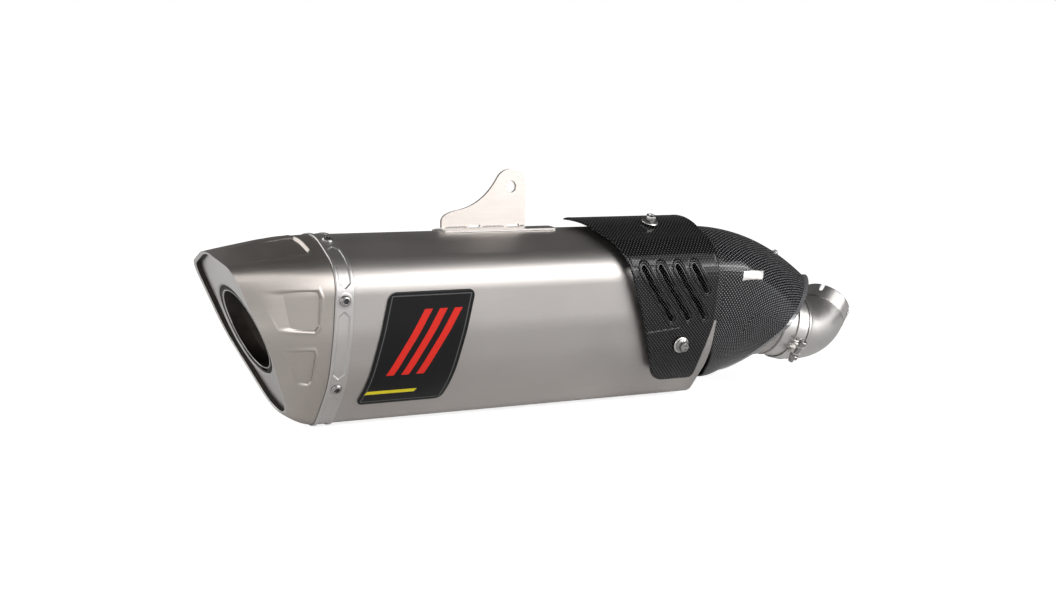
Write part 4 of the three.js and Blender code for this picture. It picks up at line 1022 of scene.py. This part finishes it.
class SILENCER_OT_shield(PieceOperator, bpy.types.Operator):
    """Builds the carbon side shield: a sheet over the sleeve, its slots cut out and their lips rolled"""

    bl_idname = "silencer.shield"
    bl_label = "Side shield"

    def build(self, sizes):
        along = np.linspace(*SHIELD_RANGE, 300)
        rear, front = shield_reach(along)
        share = np.linspace(0, 1, 140)
        x = rear[:, None] + (front - rear)[:, None] * share
        s = np.broadcast_to(along[:, None], x.shape).copy()
        gap, step_x, step_s = slot_distance(x, s)
        snap = np.abs(gap) < 0.62
        x = np.where(snap, x - gap * step_x, x)
        s = np.where(snap, s - gap * step_s, s)
        gap = np.where(snap, 0, gap)
        cell = (gap[:-1, :-1] + gap[1:, :-1] + gap[1:, 1:] + gap[:-1, 1:]) / 4
        rear_s, front_s = shield_reach(s)
        ends = np.minimum(s - SHIELD_RANGE[0], SHIELD_RANGE[1] - s)
        edge = np.minimum(np.minimum((x - rear_s) * 0.92, front_s - x), ends)
        lip = sizes.slot_lip / MM
        swell = smoothstep(0, 1.0, gap) * (1 - smoothstep(1.3, 3.2, gap))
        drop = (1 - smoothstep(0, 1.2, gap)) * 0.7 + (1 - smoothstep(0, 1.2, edge)) * 0.5
        bead = smoothstep(0.8, 2.0, edge) * (1 - smoothstep(2.0, 4.0, edge)) * 0.12
        crease = np.exp(-((s - 126 + 0.09 * (x - 285)) / 0.7) ** 2)
        crease = crease * smoothstep(270, 276, x) * (1 - smoothstep(322, 328, x))
        grow = 8.45 + lip * swell + bead - drop - 0.9 * crease
        points = skin(x, s, grow)
        uv = np.stack([x, s], -1) * MM
        piece = grid_piece("shield_skin", points, around=False, uv=uv, keep=cell > 0, out=(0, -1, 0.3),
                           sharp=70)
        thick = piece.modifiers.new("thickness", "SOLIDIFY")
        thick.thickness = 0.0011
        thick.offset = -1.0
        finish_piece(piece, "shaded_shield_carbon", "carbon", nodes=["side_shield"])
        turn = np.linspace(0, 2 * math.pi, 12, endpoint=False)[:, None]
        for number, slot in enumerate(SLOTS, 1):
            line, out = slot_outline(*slot)
            at = line[None] + out[None] * (0.45 * np.cos(turn) - 0.1)[..., None]
            points = skin(at[..., 0], at[..., 1], 8.0 + 0.45 * np.sin(turn) + 0 * at[..., 0])
            lip = grid_piece(f"slot_lip_{number}", points, loop=True, sharp=80)
            finish_piece(lip, "slot_lip", "carbon")


class SILENCER_OT_fasteners(PieceOperator, bpy.types.Operator):
    """Builds the shield's posts, washers and flanged bolts: profiles turned about the surface's normal"""

    bl_idname = "silencer.fasteners"
    bl_label = "Shield fasteners"

    def build(self, sizes):
        post = [(0.3, 3.2), (0.3, 5.3), (0.5, 5.5), (6.4, 5.5), (6.6, 5.3), (6.6, 3.2)]
        washer = [(0.3, 3.2), (0.3, 7.4), (0.7, 7.5), (1.2, 7.2), (1.5, 6.7), (1.5, 3.2)]
        bolt = [(-8.2, 0.02), (-8.2, 2.7), (1.8, 2.7), (1.8, 6.1), (2.0, 6.3), (2.4, 6.3), (2.7, 6.0),
                (3.1, 4.3), (3.2, 4.0, 1), (6.5, 4.0, 1), (6.9, 3.75, 1), (7.1, 3.3, 0.3),
                (7.0, 2.6), (6.0, 2.1), (5.6, 0.02)]
        for name, (x, along) in SHIELD_BOLTS.items():
            foot, top = surface_place(x, along, FIT), surface_place(x, along, 9.5)
            parts = (("post", post, foot, "steel"), ("washer", washer, top, "bright_steel"),
                     ("bolt", bolt, top, "steel"))
            for part, profile, place, slot in parts:
                points = placed(turned(profile), *place)
                piece = grid_piece(f"{name}_{part}_turned", points, loop=part != "bolt", sharp=35)
                finish_piece(piece, slot, slot, nodes=[f"{name}_shield_{part}"])


# ---------------------------------------------------------------- inlet

class SILENCER_OT_collar(PieceOperator, bpy.types.Operator):
    """Builds the inlet collar, its weld and the gasket in its bore: profiles turned about the inlet"""

    bl_idname = "silencer.collar"
    bl_label = "Collar and gasket"

    def build(self, sizes):
        profile = [(COLLAR_BACK, COLLAR_BORE), (COLLAR_BACK, COLLAR_RADIUS),
                   (COLLAR_MOUTH - 0.3, COLLAR_RADIUS), (COLLAR_MOUTH, COLLAR_RADIUS - 0.3),
                   (COLLAR_MOUTH, COLLAR_BORE)]
        points = placed(turned(profile, PIPE_AROUND), INLET_START, INLET_AXES)
        collar = grid_piece("collar_turned", points, loop=True)
        finish_piece(collar, "bright_steel", "titanium", nodes=["inlet_collar"])
        weld = seam("collar_weld", COLLAR_RADIUS, COLLAR_BACK, sizes.weld_bead / MM, INLET_START, INLET_AXES)
        finish_piece(weld, "steel", "steel")
        ring = [(-20, 27.8), (-20, 29.4), (COLLAR_MOUTH, 29.4), (COLLAR_MOUTH, 27.8)]
        points = placed(turned(ring, PIPE_AROUND), INLET_START, INLET_AXES)
        gasket = grid_piece("gasket_turned", points, loop=True)
        finish_piece(gasket, "graphite", "graphite", "gasket", ["pipe_gasket"])


class SILENCER_OT_clamp(PieceOperator, bpy.types.Operator):
    """Builds the clamp: a flat strip led down one lug, round the collar and down the other lug"""

    bl_idname = "silencer.clamp"
    bl_label = "Clamp"

    def build(self, sizes):
        middle, wall, lug, opening = 32.25, 1.25, 9.0, 3.5
        reach = middle + lug - 0.3
        start = math.asin((opening + 2.2) / middle)
        turn = np.linspace(start, 2 * math.pi - start, 150)
        arc = np.stack([np.sin(turn), -np.cos(turn)], -1) * middle
        down = np.linspace(reach, middle + 2.6, 8)
        first = np.stack([np.full(8, opening + wall / 2), -down], -1)
        bend = np.array([[0.3, -1.2], [1.0, -0.2]]) + (opening + wall / 2, -middle)
        mirror = np.array([-1, 1])
        path = np.concatenate([first, bend, arc, (bend * mirror)[::-1], (first * mirror)[::-1]])
        way = unit(np.gradient(path, axis=0))
        side = np.stack([way[:, 1], -way[:, 0]], -1)
        corner = np.array(((-5, -0.35), (-4.7, -0.62), (4.7, -0.62), (5, -0.35)))
        corner = np.concatenate([corner, -corner])
        yz = path[:, None] + side[:, None] * corner[None, :, 1:]
        x = np.broadcast_to(corner[:, 0], yz.shape[:2])
        local = np.concatenate([x[..., None], yz], -1)
        origin = INLET_START + INLET_AXES[0] * CLAMP_CENTRE
        points = placed(local, origin, CLAMP_AXES)
        cap = lambda row: np.broadcast_to(row.mean(0), row.shape)[None]
        points = np.concatenate([cap(points[0]), points, cap(points[-1])])
        band = grid_piece("clamp_strip", points, sharp=35)
        finish_piece(band, "bright_steel", "bright_steel", "clamp", ["clamp_band"])

        place = placed(np.array((0, 0, -(32.9 + 5.4))), origin, CLAMP_AXES)
        across = frame_axes(CLAMP_AXES[1], CLAMP_AXES[0])
        bolt = [(-10.6, 0.02), (-9.4, 1.8), (-10.6, 2.0), (-10.6, 3.6), (-10.2, 4.0), (-6.3, 4.0),
                (-6.2, 2.5), (14, 2.5), (14.2, 2.2), (14.2, 0.02)]
        nut = [(6.2, 2.8), (6.2, 3.7, 0.6), (6.5, 4.0, 1), (9.9, 4.0, 1), (10.2, 3.7, 0.6), (10.2, 2.8)]
        for name, profile, closed in (("bolt", bolt, False), ("nut", nut, True)):
            points = placed(turned(profile), place, across)
            piece = grid_piece(f"clamp_{name}_turned", points, loop=closed, sharp=35)
            finish_piece(piece, "steel", "steel", "clamp", [f"clamp_{name}"])


def pipe_points(turn, past, radius, angle):
    """Points of a pipe bent in its own XZ plane: a circle of that radius square to the bend's centre line."""
    turn, past, radius = (np.asarray(v, float)[..., None] for v in (turn, past, radius))
    out = np.stack([-np.sin(turn), 0 * turn, np.cos(turn)], -1)
    on = np.stack([np.cos(turn), 0 * turn, np.sin(turn)], -1)
    centre = np.array((0, 0, BEND_RADIUS)) - BEND_RADIUS * out + on * past[..., None]
    spoke = out * np.cos(angle)[..., None] + np.array((0, 1.0, 0)) * np.sin(angle)[..., None]
    return placed(centre + spoke * radius[..., None], INLET_START, LINK_AXES)


class SILENCER_OT_link(PieceOperator, bpy.types.Operator):
    """Builds the tapering link elbow with its start bead and seam, and the slit slip-on end"""

    bl_idname = "silencer.link"
    bl_label = "Link elbow"

    def build(self, sizes):
        angle = (2 * math.pi * np.arange(PIPE_AROUND) / PIPE_AROUND)[None, :]
        share = np.linspace(0, 1, 44)
        size = 30.9 + (MOUTH_RADIUS - 30.9) * share
        outside = [(0, -22, 27.2), (0, -21.7, 27.4), (0, -1, 27.4), (0, -1, 30.9), (0, -0.7, 31.4),
                   (0, 0.2, 31.5), (0, 1.1, 31.4), (0, 1.5, 31.0)]
        outside += [(ELBOW_BEND * t, 1.8 * (1 - t) ** 12, r) for t, r in zip(share, size)]
        inside = [(ELBOW_BEND * t, 1.8 * (1 - t) ** 12, r - 1.2) for t, r in zip(share[::-4], size[::-4])]
        inside += [(0, -1, 26.2), (0, -22, 26.2)]
        rows = np.array(outside + inside)
        elbow = grid_piece("elbow_skin", pipe_points(*rows.T, angle), loop=True, sharp=50)
        finish_piece(elbow, "polished_steel", "polished_steel", "link_pipe", ["link_elbow"])

        turn = 2 * math.pi * np.arange(10) / 10
        radius = MOUTH_RADIUS - 0.15 + 0.5 * np.cos(turn)
        bead = np.stack([np.full(10, ELBOW_BEND), 0.15 + 0.55 * np.sin(turn), radius])
        weld = grid_piece("elbow_seam", pipe_points(*bead, angle), loop=True, sharp=80)
        finish_piece(weld, "steel", "steel", "link_pipe")

        count, rows = 240, 26
        theta = 2 * math.pi * np.arange(count) / count
        past, theta = np.meshgrid(np.linspace(FIT, SLIP_LENGTH, rows), theta, indexing="ij")
        wrap = np.mod(theta - math.radians(50) + math.pi / 4, math.pi / 2) - math.pi / 4
        reach = SLIP_LENGTH - 8 + 1.85
        off_t, off_p = wrap * MOUTH_RADIUS, np.minimum(past - reach, 0)
        spread = np.maximum(np.hypot(off_t, off_p), 1e-6)
        gap = spread - 1.85
        snap = np.abs(gap) < 0.36
        theta = np.where(snap, theta - gap * off_t / spread / MOUTH_RADIUS, theta)
        past = np.where(snap & (past < reach), past - gap * off_p / spread, past)
        gap = np.where(snap, 0, gap)
        around = np.roll(gap, -1, 1)
        cell = (gap[:-1] + gap[1:] + around[:-1] + around[1:]) / 4
        points = pipe_points(np.full(rows, ELBOW_BEND), np.zeros(rows), np.full(rows, MOUTH_RADIUS), theta)
        onwards = np.array((math.cos(ELBOW_BEND), 0, math.sin(ELBOW_BEND))) @ LINK_AXES
        points = points + past[..., None] * onwards
        slip = grid_piece("slip_skin", points, keep=cell > 0, sharp=70)
        thick = slip.modifiers.new("thickness", "SOLIDIFY")
        thick.thickness = 0.0012
        thick.offset = -1.0
        finish_piece(slip, "polished_steel", "polished_steel", "link_pipe", ["slip_end"])


# ---------------------------------------------------------------- stage

def aimed(place, away):
    """The matrix of a lamp or camera at place, level, with its back along away."""
    away = unit(np.array(away, float))
    side = unit(np.cross((0, 0, 1), away))
    turn = np.eye(4)
    turn[:3] = np.stack([side, np.cross(away, side), away, place], 1)
    return Matrix(turn)


def area_light(name, place, aim, width, height, power):
    """A soft box at place that faces aim."""
    light = bpy.data.lights.new(name, "AREA")
    light.shape = "RECTANGLE"
    light.size, light.size_y, light.energy = width, height, power
    lamp = bpy.data.objects.new(name, light)
    bpy.context.scene.collection.objects.link(lamp)
    lamp.matrix_world = aimed(place, np.array(place) - np.array(aim))


class SILENCER_OT_stage(PieceOperator, bpy.types.Operator):
    """Sets the pale level floor, the soft studio lights and the camera"""

    bl_idname = "silencer.stage"
    bl_label = "Stage"

    def build(self, sizes):
        scene = bpy.context.scene
        low = CAD_BOX[0][2] - sizes.floor_drop
        run = through([(-4, 0), (-2, 0), (0, 0), (2, 0), (4, 0), (6, 0)], 60)
        x = np.linspace(-6, 6, 12)
        y, z = run[:, 0], np.maximum(run[:, 1], 0)
        grid = np.stack(np.broadcast_arrays(x, y[:, None], z[:, None] + low), -1)
        floor = grid_piece("studio_floor", grid / MM + HANGER_HOLE, around=False, out=(0, 0, 1), sharp=80)
        g = Graph("studio paper")
        grain = g.noise(g.place(), 60, 4)
        tone = g.mix(g.span(grain, 0, 1), (0.80, 0.80, 0.80, 1), (0.84, 0.84, 0.84, 1))
        seen = g.node("ShaderNodeLightPath").outputs["Is Camera Ray"]
        reach = g.node("ShaderNodeVectorMath", {"operation": "LENGTH"}, _0=g.place()).outputs["Value"]
        far = g.span(reach, 0.74, 1.0, 0.5, 2.0)
        floor.data.materials.append(g.surface(
            Base_Color=tone, Roughness=0.9, Normal=g.bump(grain, 0.05, 0.001),
            Emission_Color=(1, 1, 1, 1), Emission_Strength=g.math("MULTIPLY", seen, far)))

        world = bpy.data.worlds.new("studio")
        world.use_nodes = True
        tree = world.node_tree
        sky = tree.nodes["Background"]
        seen = tree.nodes.new("ShaderNodeLightPath").outputs["Is Camera Ray"]
        level = tree.nodes.new("ShaderNodeMapRange")
        level.inputs[3].default_value, level.inputs[4].default_value = 0.09, 1.0
        tree.links.new(seen, level.inputs[0])
        tree.links.new(level.outputs[0], sky.inputs["Strength"])
        sky.inputs["Color"].default_value = (1.0, 1.0, 1.0, 1)
        scene.world = world
        scene.view_settings.view_transform = "Standard"
        middle = (0.05, 0.0, -0.08)
        area_light("key", (0.80, -1.30, 0.18), middle, 1.7, 0.56, 8)
        area_light("strip", (0.80, -1.30, 0.31), middle, 1.7, 0.09, 3)
        area_light("overhead", (0.25, -1.15, 0.85), middle, 1.8, 0.5, 3)
        area_light("front", (-1.3, -1.3, 0.45), middle, 0.8, 0.8, 4)
        area_light("left", (-1.8, -0.2, 0.2), middle, 0.8, 0.8, 5)
        area_light("far_floor", (-0.9, 0.6, 0.5), (-0.35, 0.25, -0.2), 1.0, 1.0, 6)
        area_light("right", (1.5, -1.2, 0.35), middle, 0.8, 0.9, 5)
        area_light("floor_wash", (0.75, -1.45, 0.8), (0.62, -1.25, -0.2), 0.8, 0.8, 10)

        lens = bpy.data.cameras.new("camera")
        lens.lens, lens.sensor_width = 52.8, 36.0
        camera = bpy.data.objects.new("camera", lens)
        scene.collection.objects.link(camera)
        camera.matrix_world = aimed((-0.6367, -1.1806, 0.0331), (-0.4826, -0.8706, 0.0958))
        scene.camera = camera


class SILENCER_PT_panel(bpy.types.Panel):
    """Lists the settings and the pieces in the sidebar"""

    bl_label = "Silencer"
    bl_space_type = "VIEW_3D"
    bl_region_type = "UI"
    bl_category = "Silencer"

    def draw(self, context):
        for settings in (context.scene.silencer_sizes, context.scene.silencer_finish):
            for key in settings.__annotations__:
                self.layout.prop(settings, key)
        for kind in OPERATORS:
            self.layout.operator(kind.bl_idname)


OPERATORS = (
    SILENCER_OT_sleeve, SILENCER_OT_strap, SILENCER_OT_end_cap, SILENCER_OT_outlet, SILENCER_OT_emblem,
    SILENCER_OT_hanger, SILENCER_OT_inside, SILENCER_OT_front, SILENCER_OT_shield, SILENCER_OT_fasteners,
    SILENCER_OT_collar, SILENCER_OT_clamp, SILENCER_OT_link, SILENCER_OT_stage,
)
CLASSES = (SilencerSizes, SilencerFinish, *OPERATORS, SILENCER_PT_panel)


def register():
    for kind in CLASSES:
        bpy.utils.register_class(kind)
    bpy.types.Scene.silencer_sizes = PointerProperty(type=SilencerSizes)
    bpy.types.Scene.silencer_finish = PointerProperty(type=SilencerFinish)


def unregister():
    del bpy.types.Scene.silencer_finish
    del bpy.types.Scene.silencer_sizes
    for kind in reversed(CLASSES):
        bpy.utils.unregister_class(kind)


def main():
    register()
    for kind in OPERATORS:
        group, name = kind.bl_idname.split(".")
        getattr(getattr(bpy.ops, group), name)()


if __name__ == "__main__":
    main()
